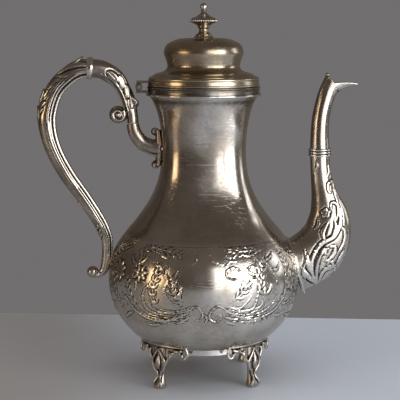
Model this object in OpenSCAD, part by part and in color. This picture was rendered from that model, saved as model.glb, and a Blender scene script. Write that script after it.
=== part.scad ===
// Silver coffee pot: a pear-shaped body with a softly squared neck, four cast feet, a scroll
// handle on a bracket, a swan spout and a hinged, domed lid with a turned finial.
// The body's axis is vertical, the handle points to -X and the spout to +X. Millimetres.

/* [Body] */
// Height of the body's underside above the table
underside_z = 26.6; // [22:0.2:34]
// Radius of the flat underside
underside_r = 30; // [24:0.5:34]
// Greatest radius of the belly
belly_r = 66.1; // [56:0.5:78]
// Height of the belly's greatest radius above the underside
belly_rise = 41.4; // [34:0.2:50]
// Height of the narrowest part of the neck above the belly's greatest radius
neck_rise = 87; // [74:0.5:104]
// Radius of the narrowest part of the neck, measured on its flats
neck_r = 28.8; // [25:0.2:34]
// Height of the collar's lower edge above the narrowest part of the neck
flare_rise = 42.6; // [36:0.2:51]
// Radius of the neck where it meets the collar
mouth_r = 37.8; // [34:0.2:45]
// Thickness of the body's sheet
wall = 1.1; // [0.8:0.1:2]
// Squareness of the neck: 2 is round, more is squarer
neck_square = 3.1; // [2:0.1:4]
// Height of the seam between belly and neck above the belly's greatest radius
seam_rise = 29; // [24:0.5:35]

/* [Base and feet] */
// Outer radius of the plain ring under the body
base_ring_r = 36.5; // [33:0.5:39]
// Height of that ring below the underside
base_ring_h = 3.4; // [2:0.2:5]
// Thickness of the ring and of the bottom plate
base_wall = 1.4; // [1:0.1:2.5]
// Outer radius of the feet's curved aprons
apron_r = 45.5; // [42:0.5:50]
// Thickness of an apron
apron_t = 2; // [1.4:0.1:3]
// Angle that an apron spans
apron_angle = 52; // [40:1:60]
// Depth of an apron below the underside
apron_drop = 4.2; // [3:0.2:6]
// Width of a foot's leaf
leaf_w = 12.4; // [9:0.2:16]
// Width of a foot's ankle
ankle_w = 4.8; // [3.5:0.1:7]
// Width of a foot's toe
toe_w = 8.4; // [6:0.2:11]

/* [Collar and lid] */
// Height of the plain collar round the mouth
collar_h = 5.6; // [4:0.2:8]
// How far the collar stands out past the mouth
collar_out = 1.3; // [0.8:0.1:4]
// Gap left between lid and collar, and between moving pieces in general
lid_gap = 0.35; // [0.3:0.05:0.6]
// How far the lid's rim is set in from the collar's edge
lid_set_in = 0.7; // [0.2:0.1:2]
// Height of the lid's rim moulding
lid_rim_h = 6.2; // [5:0.2:9]
// Radius of the lid's waist above the rim
waist_r = 24.8; // [21:0.2:28]
// Greatest radius of the lid's dome
dome_r = 27.2; // [24:0.2:32]
// Height of the dome above the rim moulding
dome_h = 26.4; // [22:0.2:32]
// Depth of the lid's inner bezel below the rim
bezel_h = 5; // [3:0.2:7]
// Gap between the bezel and the collar's bore
bezel_gap = 0.8; // [0.6:0.05:1.2]

/* [Finial] */
// Height of the turned lower part, up to the beaded disc
baluster_h = 10.4; // [8:0.2:14]
// Radius of the baluster's foot
baluster_r = 6.5; // [5:0.1:8]
// Radius of the beaded disc
disc_r = 9.7; // [7:0.1:12]
// Thickness of the beaded disc
disc_t = 2; // [1.4:0.1:3]
// Height of the upper part, from the disc to the top of the ball
spire_h = 11; // [9:0.2:15]
// Radius of the ball on top
ball_r = 2.5; // [1.8:0.1:3.5]
// Radius of the stud that holds the finial
stud_r = 1.5; // [1.2:0.1:2.2]

/* [Hinge] */
// Distance of the hinge pin from the collar's outer edge
hinge_out = 5.2; // [4.2:0.1:10]
// Radius of the hinge pin
pin_r = 1.2; // [1:0.1:1.5]
// Radial clearance between the pin and the lid's knuckle
pin_fit = 0.05; // [0.02:0.01:0.1]
// Outer radius of the knuckles
knuckle_r = 2.4; // [2.2:0.1:3]
// Length of the whole hinge
hinge_w = 16; // [12:0.5:22]

/* [Spout] */
// How far the spout's tip stands out past the belly
spout_out = 40.5; // [30:0.5:54]
// Height of the top of the spout above the collar
spout_over = 8.8; // [-8:0.2:22]
// Distance of the spout's upright part from the belly
spout_stand = 14.7; // [10:0.1:24]
// Half of the height of the spout's root
root_h = 18.8; // [15:0.2:22]
// Half of the width of the spout's root
root_w = 13.4; // [10:0.2:16]
// Radius of the spout at the triple ring
spout_r = 6.8; // [5.5:0.1:8.5]
// Thickness of the spout's sheet
spout_wall = 1; // [0.8:0.1:1.6]
// Radius of the strainer's holes
strainer_r = 1.7; // [1.2:0.1:2.2]

/* [Handle] */
// How far the handle stands out past the belly
handle_out = 47.3; // [38:0.5:60]
// Height of the handle's top above the collar
handle_over = 18.8; // [10:0.2:32]
// Half of the thickness of the grip
grip_r = 6.3; // [5:0.1:7.5]
// Length of the ring on top of the handle
ferrule_w = 4.4; // [3:0.2:7]
// Height of the ring's wall over the grip
ferrule_t = 0.9; // [0.6:0.1:1.6]
// Least room between the hinge's knuckles and the handle's arm
arm_clear = 3; // [1:0.1:6]
// Radius of the snail scroll
volute_r = 6.4; // [5:0.1:7]
// Width of the bracket's plate on the neck
plate_w = 8; // [6:0.2:12]

/* [Hidden] */

$fn = 96;
ring_fn = 48;
tube_fn = 18;
solder_gap = 0.05;

silver = [0.66, 0.62, 0.56];
dark_silver = [0.5, 0.47, 0.44];
warm_silver = [0.63, 0.55, 0.43];
bright_silver = [0.78, 0.77, 0.75];

belly_z = underside_z + belly_rise;
neck_z = belly_z + neck_rise;
collar_z = neck_z + flare_rise;
collar_top_z = collar_z + collar_h;
seam_z = belly_z + seam_rise;
lid_z = collar_top_z + lid_gap;
dome_z = lid_z + lid_rim_h;
crown_z = dome_z + dome_h;
collar_r = mouth_r + collar_out;
lid_r = collar_r - lid_set_in;
hinge_x = collar_r + hinge_out;
spout_x = belly_r + spout_stand;
spout_reach = belly_r + spout_out;
spout_top_z = collar_top_z + spout_over;
handle_reach = belly_r + handle_out;
handle_top_z = collar_top_z + handle_over;
axis_x = (handle_reach - spout_reach) / 2;
collar_bore_r = collar_r - 2.4;
hinge_z = collar_top_z - 0.2;

// ---------------------------------------------------------------- curves

function catmull(a, b, c, d, t) =
    0.5 * (2 * b + (c - a) * t + (2 * a - 5 * b + 4 * c - d) * t * t
           + (3 * b - a - 3 * c + d) * t * t * t);

// A smooth line through the knots, with `steps` points from each knot to the next.
function smooth(knots, steps) =
    let (n = len(knots),
         k = concat([2 * knots[0] - knots[1]], knots, [2 * knots[n - 1] - knots[n - 2]]))
    concat([for (i = [1 : n - 1], j = [0 : steps - 1])
                catmull(k[i - 1], k[i], k[i + 1], k[i + 2], j / steps)],
           [knots[n - 1]]);

function ease(t) = let (u = min(1, max(0, t))) u * u * (3 - 2 * u);
function unit(v) = v / norm(v);
function flat_pair(p) = [p[0], p[1]];
function swap_pair(p) = [p[1], p[0]];
function tangent(line, i) =
    let (a = line[max(0, i - 1)], b = line[min(len(line) - 1, i + 1)])
    unit([b[0] - a[0], b[1] - a[1]]);

// A line moved sideways by d, to the left of its direction.
function shifted(line, d) =
    [for (i = [0 : len(line) - 1])
        let (t = tangent(line, i)) [line[i][0] - t[1] * d, line[i][1] + t[0] * d]];

// ---------------------------------------------------------------- body outline: [radius, height]

// Shares of the belly's radius and rise, from the underside to the greatest radius.
lower_shape = [[0.56, 0.01], [0.65, 0.048], [0.722, 0.12], [0.787, 0.222], [0.855, 0.35],
               [0.923, 0.52], [0.976, 0.75], [1, 1]];
// Shares of the way from neck radius to belly radius, and of the neck's rise.
shoulder_shape = [[0.984, 0.132], [0.887, 0.264], [0.692, 0.391], [0.424, 0.529],
                  [0.196, 0.678], [0.056, 0.833], [0, 1]];
// Shares of the way from neck radius to mouth radius, and of the flare's rise.
flare_shape = [[0.022, 0.326], [0.244, 0.628], [0.611, 0.86], [1, 1]];

body_knots = concat(
    [[underside_r, underside_z]],
    [for (p = lower_shape) [belly_r * p[0], underside_z + belly_rise * p[1]]],
    [for (p = shoulder_shape) [neck_r + (belly_r - neck_r) * p[0], belly_z + neck_rise * p[1]]],
    [for (p = flare_shape) [neck_r + (mouth_r - neck_r) * p[0], neck_z + flare_rise * p[1]]]);
body_line = smooth(body_knots, 4);
radius_table = [for (p = body_line) swap_pair(p)];
function body_r(z) = lookup(z, radius_table);

belly_line = concat([for (p = body_line) if (p[1] < seam_z - 0.5) p], [[body_r(seam_z), seam_z]]);
belly_inner = shifted(belly_line, wall);

module belly_solid() {
    rotate_extrude()
        polygon(concat(belly_line, [[0, seam_z], [0, underside_z]]));
}

// ---------------------------------------------------------------- skins

function ring_faces(n, a, b) =
    [for (j = [0 : n - 1]) let (k = (j + 1) % n)
        each [[a + j, b + j, b + k], [a + j, b + k, a + k]]];

// A closed solid through rings of points that all have the same count.
module skin(rings) {
    n = len(rings[0]);
    m = len(rings);
    first = m * n;
    middle = [for (i = [0, m - 1]) [for (c = [0 : 2]) ring_mean(rings[i], c)]];
    polyhedron(
        points = concat([for (r = rings) each r], middle),
        faces = concat(
            [for (i = [0 : m - 2]) each ring_faces(n, i * n, (i + 1) * n)],
            [for (j = [0 : n - 1]) [first, j, (j + 1) % n]],
            [for (j = [0 : n - 1]) [first + 1, (m - 1) * n + (j + 1) % n, (m - 1) * n + j]]));
}

function ring_mean(ring, c, i = 0, total = 0) =
    i == len(ring) ? total / len(ring) : ring_mean(ring, c, i + 1, total + ring[i][c]);

// A pipe between outer rings and inner rings, open at both ends.
module pipe_skin(outer, inner) {
    m = len(outer);
    loop_skin(concat(outer, [for (i = [m - 1 : -1 : 0]) inner[i]]));
}

// A ring of points round a place [x, z] in the plane y = 0; a lies in that plane along
// direction d, b lies across it.
function plane_ring(x, z, d, a, b, n) =
    [for (j = [0 : n - 1]) let (q = 360 * j / n)
        [x + d[0] * a * cos(q), -b * sin(q), z + d[1] * a * cos(q)]];

function normal_of(line, i) = let (t = tangent(line, i)) [-t[1], t[0]];

// ---------------------------------------------------------------- body pieces

module placed() {
    translate([axis_x, 0, 0]) children();
}

spout_seat_z = belly_z + 10.2;

module strainer_holes() {
    pitch = 3 * strainer_r;
    rows = [[-2, 3], [-1, 4], [0, 5], [1, 4], [2, 3]];
    for (row = rows, i = [0 : row[1] - 1])
        translate([0, (i - (row[1] - 1) / 2) * pitch, spout_seat_z + row[0] * pitch * 0.866])
            rotate([0, 90, 0])
                cylinder(h = belly_r + 10, r = strainer_r, $fn = 24);
}

module belly_shell() {
    color(silver) placed() difference() {
        rotate_extrude()
            polygon(concat(belly_line, [for (i = [len(belly_inner) - 1 : -1 : 1]) belly_inner[i]],
                           [[underside_r, underside_z + wall]]));
        strainer_holes();
    }
}

function superellipse(q, n) = 1 / pow(pow(abs(cos(q)), n) + pow(abs(sin(q)), n), 1 / n);

function squareness(z) =
    2 + (neck_square - 2) * ease((z - seam_z - 4) / 38) * (1 - ease((z - collar_z + 26) / 24));

module neck_shell() {
    steps = 30;
    heights = [for (i = [0 : steps]) seam_z + (collar_z - seam_z) * i / steps];
    outer = [for (z = heights)
        [for (j = [0 : ring_fn - 1]) let (q = 360 * j / ring_fn,
             r = body_r(z) * superellipse(q, squareness(z))) [r * cos(q), r * sin(q), z]]];
    inner = [for (z = heights)
        [for (j = [0 : ring_fn - 1]) let (q = 360 * j / ring_fn,
             r = body_r(z) * superellipse(q, squareness(z)) - wall) [r * cos(q), r * sin(q), z]]];
    color(silver) placed() pipe_skin(outer, inner);
}

module bottom_plate() {
    color(dark_silver) placed()
        translate([0, 0, underside_z])
            cylinder(h = base_wall, r = underside_r);
}

module base_ring() {
    color(bright_silver) placed() difference() {
        translate([0, 0, underside_z - base_ring_h])
            cylinder(h = base_ring_h + 2, r = base_ring_r);
        translate([0, 0, underside_z - base_ring_h - 1])
            cylinder(h = base_ring_h + 4, r = base_ring_r - base_wall);
        belly_solid();
    }
}

// ---------------------------------------------------------------- feet

toe_h = 7.4;
leg_r = apron_r - 1.6;

// The foot's outline from the side: distance from the axis, height.
foot_side = smooth([[leg_r - 3.2, underside_z + 4], [leg_r - 2, underside_z - 6],
                    [leg_r - 3.2, 14], [leg_r - 2.6, 9], [leg_r - 1.6, 4], [leg_r - 2, 0]], 4);
foot_front = smooth([[leg_r + 3.4, 0], [leg_r + 5, 2.4], [leg_r + 4, 5.6], [leg_r + 1.4, toe_h],
                     [leg_r + 0.4, 10.5], [leg_r + 2, 16], [leg_r + 3.4, underside_z - 4],
                     [leg_r + 3.2, underside_z + 4]], 4);

// Half of the foot's width at each height, from the sole up.
foot_widths = smooth([[toe_w / 2 - 1, 0], [toe_w / 2, 3], [toe_w / 2 - 0.9, 6],
                      [ankle_w / 2, 9.5], [leaf_w / 2 - 1.4, 13.5], [leaf_w / 2, 17.5],
                      [leaf_w / 2 - 1.8, underside_z - 4], [leaf_w / 2 - 2.6, underside_z + 4]], 4);

module foot_leg() {
    intersection() {
        rotate([90, 0, 0])
            linear_extrude(height = 40, center = true)
                polygon(concat(foot_side, foot_front));
        translate([leg_r - 20, 0, 0])
            rotate([90, 0, 90])
                linear_extrude(height = 40)
                    polygon(concat(foot_widths,
                                   [for (i = [len(foot_widths) - 1 : -1 : 0])
                                        [-foot_widths[i][0], foot_widths[i][1]]]));
    }
}

module foot_apron() {
    arch_r = 5.2;
    arch_z = underside_z - apron_drop - 1.6;
    arch_q = apron_angle / 2 - 9.5;
    difference() {
        rotate([0, 0, -apron_angle / 2])
            rotate_extrude(angle = apron_angle)
                translate([apron_r - apron_t, underside_z - apron_drop])
                    square([apron_t, apron_drop + 6]);
        for (s = [-1, 1])
            rotate([0, 0, s * arch_q])
                translate([apron_r - 10, 0, arch_z])
                    rotate([0, 90, 0])
                        cylinder(h = 20, r = arch_r, $fn = 48);
    }
}

module foot(azimuth) {
    color(dark_silver) placed() rotate([0, 0, azimuth]) difference() {
        union() {
            foot_leg();
            foot_apron();
        }
        belly_solid();
    }
}

module front_left_foot() { foot(-135); }
module front_right_foot() { foot(-45); }
module rear_left_foot() { foot(135); }
module rear_right_foot() { foot(45); }

// ---------------------------------------------------------------- collar

module mouth_collar() {
    color(silver) placed() rotate_extrude() polygon([
        [collar_bore_r, collar_z], [collar_r, collar_z], [collar_r, collar_top_z - 0.8],
        [collar_r - 0.8, collar_top_z], [collar_bore_r, collar_top_z]]);
}

module collar_wire() {
    wire_r = 0.7;
    color(bright_silver) placed()
        translate([0, 0, collar_z + wire_r])
            rotate_extrude()
                translate([collar_r, 0])
                    intersection() {
                        circle(r = wire_r, $fn = 24);
                        translate([0, -wire_r]) square([wire_r, 2 * wire_r]);
                    }
}

// ---------------------------------------------------------------- spout

root_x = body_r(spout_seat_z) - 2.3;
spout_ring_z = spout_seat_z + 79.3;
spout_mouth_z = spout_top_z - 6.7;

// A place on the belly's surface, raised by lift.
function on_belly(y, z, lift) = [sqrt(pow(body_r(z) + lift, 2) - y * y), y, z];

// A point that would lie inside the belly is moved out along X to its surface.
function outside_belly(p) =
    norm([p[0], p[1]]) < body_r(p[2]) + solder_gap ? on_belly(p[1], p[2], solder_gap) : p;

// Shares of the way out to spout_x and up to the triple ring, then of the root's extra size.
lower_spout_shape = [[0, 0, 1, 1], [0.44, 0.04, 1.01, 0.97], [0.98, 0.13, 1.02, 0.86],
                     [1.33, 0.28, 0.86, 0.67], [1.38, 0.44, 0.6, 0.42], [1.24, 0.59, 0.27, 0.23],
                     [1.12, 0.71, 0.09, 0.08], [1.03, 0.86, 0.01, 0.01], [1, 1, 0, 0]];
// Shares of the way out to the tip and up to the mouth, then of the radius at the triple ring.
upper_spout_shape = [[-0.01, 0.26, 0.93, 0.93], [0.01, 0.49, 0.9, 0.89], [0.08, 0.69, 0.88, 0.83],
                     [0.185, 0.87, 0.94, 0.77], [0.302, 1, 1.1, 0.71]];

spout_line = smooth(concat(
    [for (p = lower_spout_shape)
        [root_x + (spout_x - root_x) * p[0],
         spout_seat_z + (spout_ring_z - spout_seat_z) * p[1],
         spout_r + (root_h - spout_r) * p[2],
         spout_r + (root_w - spout_r) * p[3]]],
    [for (p = upper_spout_shape)
        [spout_x + (spout_reach - spout_x) * p[0],
         spout_ring_z + (spout_mouth_z - spout_ring_z) * p[1],
         spout_r * p[2],
         spout_r * p[3]]]), 3);
spout_joint = 3 * (len(lower_spout_shape) - 1);
spout_end = len(spout_line) - 1;
// Thickness of the lip at its tip, and how far the tip lies under the mouth's middle.
lip_t = 0.7;
lip_drop = 1.2;
// Direction across the slanted mouth, from its front to its back.
mouth_slant = unit([-0.55, 0.83]);

function spout_ring(i, inset) =
    let (p = spout_line[i], d = i == spout_end ? mouth_slant : normal_of(spout_line, i))
    [for (q = plane_ring(p[0], p[1], d, p[2] - inset, p[3] - inset, 24)) outside_belly(q)];

module spout_part(first, last) {
    color(silver) placed()
        pipe_skin([for (i = [first : last]) spout_ring(i, 0)],
                  [for (i = [first : last]) spout_ring(i, spout_wall)]);
}

module spout_lower() { spout_part(0, spout_joint); }

// The mouth's ring drawn out by share t towards the tip: its back stays and its front moves most.
function lip_ring(inset, t) =
    let (mouth = spout_ring(spout_end, inset), centre = spout_line[spout_end],
         front = mouth[len(mouth) / 2],
         reach = spout_reach - lip_t * inset / spout_wall - front[0],
         rise = centre[1] - lip_drop - front[2] + lip_t * inset / spout_wall)
    [for (j = [0 : len(mouth) - 1])
        let (p = mouth[j], pull = t * pow(max(0, -cos(360 * j / len(mouth))), 1.4))
        [p[0] + reach * pull, p[1] * (1 - 0.72 * pull), p[2] + rise * (1 - pow(1 - pull, 1.8))]];

// The pouring end: a pipe whose front is drawn out into an open lip.
module spout_upper() {
    shares = [0.25, 0.5, 0.75, 1];
    color(silver) placed()
        pipe_skin(concat([for (i = [spout_joint : spout_end]) spout_ring(i, 0)],
                         [for (t = shares) lip_ring(0, t)]),
                  concat([for (i = [spout_joint : spout_end]) spout_ring(i, spout_wall)],
                         [for (t = shares) lip_ring(spout_wall, t)]));
}

module spout_root_flange() {
    lift = 1.6;
    sides = 36;
    lean = normal_of(spout_line, 0);
    section = [[0.4, 0], [2.6, 0], [2.2, 0.8 * lift], [0.6, lift]];
    rings = [for (s = section)
        [for (j = [0 : sides - 1]) let (q = -360 * j / sides)
            on_belly((root_w + s[0]) * sin(q),
                     spout_seat_z + (root_h * lean[1] + s[0]) * cos(q), solder_gap + s[1])]];
    color(bright_silver) placed() difference() {
        loop_skin(rings);
        skin([for (i = [0 : 9]) spout_ring(i, -solder_gap)]);
    }
}

module loop_skin(rings) {
    n = len(rings[0]);
    k = len(rings);
    polyhedron(
        points = [for (r = rings) each r],
        faces = [for (i = [0 : k - 1]) each ring_faces(n, i * n, ((i + 1) % k) * n)]);
}

module spout_triple_ring() {
    bore = spout_r + 0.25;
    bead = 0.9;
    color(bright_silver) placed()
        translate([spout_x, 0, spout_ring_z])
            rotate_extrude(convexity = 4) {
                translate([bore, -2.8]) square([0.5, 5.6]);
                for (i = [-1 : 1])
                    translate([bore, i * 2 * bead])
                        intersection() {
                            circle(r = bead, $fn = 24);
                            translate([0, -bead]) square([bead, 2 * bead]);
                        }
            }
}

// ---------------------------------------------------------------- handle

handle_foot_z = belly_z + 5.5;
handle_foot_x = body_r(belly_z + 20) + 4.1;
plate_z = neck_z + 6;
plate_x = body_r(plate_z) + 4.6;
grip_x = handle_reach - grip_r;
ferrule_z = handle_top_z - grip_r;
ferrule_x = handle_foot_x + 0.26 * (grip_x - handle_foot_x);
// Inner side of the arm at the height of the hinge, and how far a wide mouth pushes it out there.
arm_side_x = plate_x + 0.49 * (ferrule_x - plate_x) - 0.83 * grip_r;
arm_push = max(0, hinge_x + knuckle_r + arm_clear - arm_side_x) / 0.76;

// Shares of the way out to the grip and up to the ferrule, and of the grip's thickness.
grip_shape = [[0.33, 0.022, 0.08], [0.3, 0.017, 0.48], [0.24, 0.007, 0.59], [0.2, 0.001, 0.49],
              [0.14, -0.001, 0.4], [0.07, 0.012, 0.44], [0.04, 0.036, 0.51], [0.01, 0.07, 0.56],
              [0, 0.116, 0.59], [0, 0.172, 0.63], [0.08, 0.232, 0.7], [0.22, 0.3, 0.75],
              [0.42, 0.387, 0.79], [0.66, 0.482, 0.84], [0.85, 0.58, 0.87], [0.96, 0.665, 0.92],
              [1, 0.752, 1], [0.95, 0.832, 1], [0.83, 0.904, 0.97], [0.64, 0.96, 1.02],
              [0.45, 0.992, 1.04], [0.26, 1, 1]];
// Shares of the way from the bracket's plate out to the ferrule and up to it, and of the grip's
// thickness.
arm_shape = [[0.835, 0.987, 0.98], [0.68, 0.923, 0.98], [0.57, 0.852, 0.94], [0.49, 0.76, 0.83],
             [0.44, 0.667, 0.81], [0.405, 0.567, 0.8], [0.369, 0.439, 0.7], [0.351, 0.311, 0.67],
             [0.314, 0.192, 0.73], [0.208, 0.073, 0.79], [0.072, 0.015, 0.89], [0, 0, 0.95]];

// Distance out from the axis, height and radius along the handle, from its ball to the plate.
handle_line = smooth(concat(
    [for (p = grip_shape)
        [handle_foot_x + (grip_x - handle_foot_x) * p[0] + arm_push * p[1],
         handle_foot_z + (ferrule_z - handle_foot_z) * p[1], grip_r * p[2]]],
    [for (p = arm_shape)
        [plate_x + (ferrule_x - plate_x) * p[0] + arm_push * p[1],
         plate_z + (ferrule_z - plate_z) * p[1], grip_r * p[2]]]), 3);
ferrule_at = 3 * (len(grip_shape) - 1);
arm_end = ferrule_at + 24;
bracket_end = len(handle_line) - 1;

module handle_part(first, last) {
    mirror([1, 0, 0])
        skin([for (i = [first : last])
            let (p = handle_line[i], d = i == bracket_end ? [0, -1] : normal_of(handle_line, i))
            [for (q = plane_ring(p[0], p[1], d, p[2], p[2], tube_fn))
                outside_belly(q)]]);
}

// A round boss across the handle, centred at a distance out from the axis and a height.
module boss(out, z, r, w) {
    translate([-out, 0, z])
        rotate([90, 0, 0])
            cylinder(h = w, r = r, center = true);
}

module handle_grip() {
    color(dark_silver) placed() handle_part(0, ferrule_at);
}

module handle_ferrule() {
    at = handle_line[ferrule_at];
    along = tangent(handle_line, ferrule_at);
    bore = grip_r + 0.25;
    color(bright_silver) placed()
        translate([-at[0], 0, at[1]])
            rotate([0, 90 + atan2(along[1], along[0]), 0])
                difference() {
                    cylinder(h = ferrule_w, r = bore + ferrule_t, center = true);
                    cylinder(h = ferrule_w + 2, r = bore, center = true);
                }
}

module handle_upper_arm() {
    curl = handle_line[ferrule_at + 18];
    color(dark_silver) placed() {
        handle_part(ferrule_at, arm_end);
        boss(curl[0] + curl[2] + volute_r - 3.3, curl[1] - 7.8, volute_r, 9);
        boss(curl[0] - curl[2] + 0.2, curl[1] + 0.2, 2.6, 7);
    }
}

module handle_bracket() {
    color(dark_silver) placed() handle_part(arm_end, bracket_end);
}

module bracket_plate() {
    low = plate_z - 13;
    high = plate_z + 13;
    face_x = plate_x - solder_gap;
    seat = [for (z = [low - 6 : 2 : high + 6]) [-body_r(z) - solder_gap, z]];
    color(dark_silver) placed() difference() {
        union() {
            rotate([90, 0, 0])
                linear_extrude(height = plate_w, center = true)
                    polygon([[-face_x, low], [-face_x, high - 4], [-face_x + 2.2, high],
                             [-neck_r + 4, high], [-neck_r + 4, low]]);
            boss(face_x - 1.8, high - 2.5, 3, plate_w);
            boss(face_x - 1, low + 2.5, 3.4, plate_w);
        }
        rotate([90, 0, 0])
            linear_extrude(height = plate_w + 2, center = true)
                polygon(concat([[0, low - 6]], seat, [[0, high + 6]]));
    }
}

// ---------------------------------------------------------------- hinge

knuckle_gap = lid_gap;
lid_knuckle_w = hinge_w / 3;
// Width of the metal that joins each knuckle to its leaf.
web_w = 1.3 * knuckle_r;
web_inset = 0.3;

module at_hinge() {
    translate([-hinge_x, 0, hinge_z]) rotate([90, 0, 0]) children();
}

module hinge_body_leaf() {
    side_w = (hinge_w - lid_knuckle_w) / 2 - knuckle_gap;
    leaf_top = hinge_z - knuckle_r - knuckle_gap;
    leaf_low = collar_z + 1.5;
    leaf_w = hinge_w - 2 * web_inset;
    color(dark_silver) placed() difference() {
        union() {
            translate([-hinge_x - web_w / 2 - web_inset, -leaf_w / 2, leaf_low])
                cube([hinge_x + web_w - collar_r + 1, leaf_w, leaf_top - leaf_low]);
            for (s = [-1, 1])
                translate([-hinge_x, s * (hinge_w - side_w) / 2, hinge_z]) {
                    rotate([90, 0, 0])
                        cylinder(h = side_w, r = knuckle_r, center = true);
                    translate([-web_w / 2, web_inset * 2 - side_w / 2, leaf_low - hinge_z + 0.2])
                        cube([web_w, side_w - 4 * web_inset, hinge_z - leaf_low - pin_r - 0.6]);
                }
        }
        at_hinge() cylinder(h = hinge_w + 2, r = pin_r, center = true);
        translate([0, 0, collar_z - 1])
            cylinder(h = collar_h + 4, r = collar_r + solder_gap);
    }
}

module hinge_pin() {
    color(bright_silver) placed()
        at_hinge()
            cylinder(h = hinge_w + 0.8, r = pin_r, center = true);
}

module hinge_lid_leaf() {
    bar_low = knuckle_r + knuckle_gap + 0.05;
    bar_t = 1.1;
    color(dark_silver) placed() difference() {
        union() {
            at_hinge() cylinder(h = lid_knuckle_w, r = knuckle_r, center = true);
            translate([-hinge_x - web_w / 2, -hinge_w / 2, hinge_z + bar_low])
                cube([hinge_x + web_w / 2 - lid_r + 4, hinge_w, bar_t]);
            translate([-hinge_x - web_w / 2 + 0.3, web_inset - lid_knuckle_w / 2,
                       hinge_z + pin_r + 0.4])
                cube([web_w - 0.6, lid_knuckle_w - 2 * web_inset, bar_low - pin_r]);
        }
        at_hinge() cylinder(h = hinge_w + 2, r = pin_r + pin_fit, center = true);
        translate([0, 0, lid_z - 1])
            cylinder(h = lid_rim_h + 2, r = lid_r + solder_gap);
    }
}

// ---------------------------------------------------------------- lid

// The lid's outline above its rim, from the step up to the flat seat of the finial.
dome_line = smooth([[lid_r - 3.5, dome_z + 1.7], [lid_r - 5, dome_z + 2.1],
                    [waist_r + 4, dome_z + 3.1], [waist_r + 1.2, dome_z + 4.5],
                    [waist_r, dome_z + 0.28 * dome_h], [waist_r + 0.9, dome_z + 0.43 * dome_h],
                    [dome_r, dome_z + 0.6 * dome_h], [dome_r - 0.5, dome_z + 0.73 * dome_h],
                    [dome_r - 2, dome_z + 0.83 * dome_h], [dome_r - 4.8, dome_z + 0.9 * dome_h],
                    [dome_r - 9.9, dome_z + 0.97 * dome_h], [baluster_r + 5, crown_z - 0.1],
                    [baluster_r + 1, crown_z]], 3);
rim_line = [[lid_r, lid_z], [lid_r, lid_z + 1.6], [lid_r - 0.5, lid_z + 2.8],
            [lid_r - 1.3, lid_z + 4.2], [lid_r - 2.3, dome_z - 0.5], [lid_r - 3.5, dome_z]];

module lid_cap() {
    inner = shifted(dome_line, wall);
    n = len(inner) - 1;
    rim_bore = lid_r - 4.6;
    bore = stud_r + 0.2;
    color(warm_silver) placed() rotate_extrude()
        polygon(concat(rim_line, dome_line,
                       [[bore, crown_z], [bore, crown_z - wall]],
                       [for (i = [n : -1 : 3]) inner[i]],
                       [[rim_bore, dome_z + 0.8], [rim_bore, lid_z]]));
}

module lid_bezel() {
    outer_r = collar_bore_r - bezel_gap;
    color(silver) placed()
        translate([0, 0, lid_z - bezel_h])
            difference() {
                cylinder(h = bezel_h, r = outer_r);
                translate([0, 0, -1]) cylinder(h = bezel_h + 2, r = outer_r - 1);
            }
}

// ---------------------------------------------------------------- finial

disc_z = crown_z + baluster_h;
washer_t = 1;
nut_h = 2.6;

module finial_baluster() {
    stud_end = crown_z - wall - washer_t - nut_h - 1.2;
    line = smooth([[baluster_r, crown_z], [baluster_r - 0.7, crown_z + 0.13 * baluster_h],
                   [4.1, crown_z + 0.3 * baluster_h], [3.1, crown_z + 0.5 * baluster_h],
                   [4.1, crown_z + 0.69 * baluster_h], [6.5, crown_z + 0.88 * baluster_h],
                   [8, disc_z]], 4);
    color(warm_silver) placed() rotate_extrude()
        polygon(concat(line, [[0, disc_z], [0, stud_end], [stud_r, stud_end], [stud_r, crown_z]]));
}

module finial_disc() {
    color(silver) placed()
        translate([0, 0, disc_z])
            rotate_extrude()
                polygon([[0, 0], [disc_r - 0.6, 0], [disc_r, disc_t / 3], [disc_r, 2 * disc_t / 3],
                         [disc_r - 0.6, disc_t], [0, disc_t]]);
}

module finial_spire() {
    low = disc_z + disc_t;
    ball_z = spire_h - ball_r;
    line = smooth([[8.2, low], [7.2, low + 1], [4.2, low + 2.6], [2.2, low + 4.2],
                   [1.7, low + 5.4], [ball_r - 0.5, low + ball_z - 1.7]], 4);
    color(warm_silver) placed() {
        rotate_extrude()
            polygon(concat(line, [[0, low + ball_z - 1.7], [0, low]]));
        translate([0, 0, low + ball_z]) sphere(r = ball_r, $fn = 48);
    }
}

module finial_washer() {
    color(dark_silver) placed()
        translate([0, 0, crown_z - wall - washer_t])
            difference() {
                cylinder(h = washer_t, r = 5);
                translate([0, 0, -1]) cylinder(h = washer_t + 2, r = stud_r + 0.2);
            }
}

module finial_nut() {
    color(dark_silver) placed()
        translate([0, 0, crown_z - wall - washer_t - nut_h])
            difference() {
                cylinder(h = nut_h, r = 3.6, $fn = 6);
                translate([0, 0, -1]) cylinder(h = nut_h + 2, r = stud_r + solder_gap);
            }
}

// ---------------------------------------------------------------- nodes

belly_shell();
neck_shell();
bottom_plate();
base_ring();
front_left_foot();
front_right_foot();
rear_left_foot();
rear_right_foot();
mouth_collar();
collar_wire();
spout_root_flange();
spout_lower();
spout_triple_ring();
spout_upper();
handle_grip();
handle_ferrule();
handle_upper_arm();
handle_bracket();
bracket_plate();
hinge_body_leaf();
hinge_pin();
hinge_lid_leaf();
lid_cap();
lid_bezel();
finial_baluster();
finial_disc();
finial_spire();
finial_washer();
finial_nut();
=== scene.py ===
"""Looks of the silver coffee pot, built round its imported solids.

Every length is in millimetres and turns into metres only when a mesh is made. Places are given
from the body's upright axis: x points to the spout, y to the back and z up.
"""

import logging
import math
from dataclasses import dataclass, field
from enum import Enum
from typing import Callable, Sequence

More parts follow.
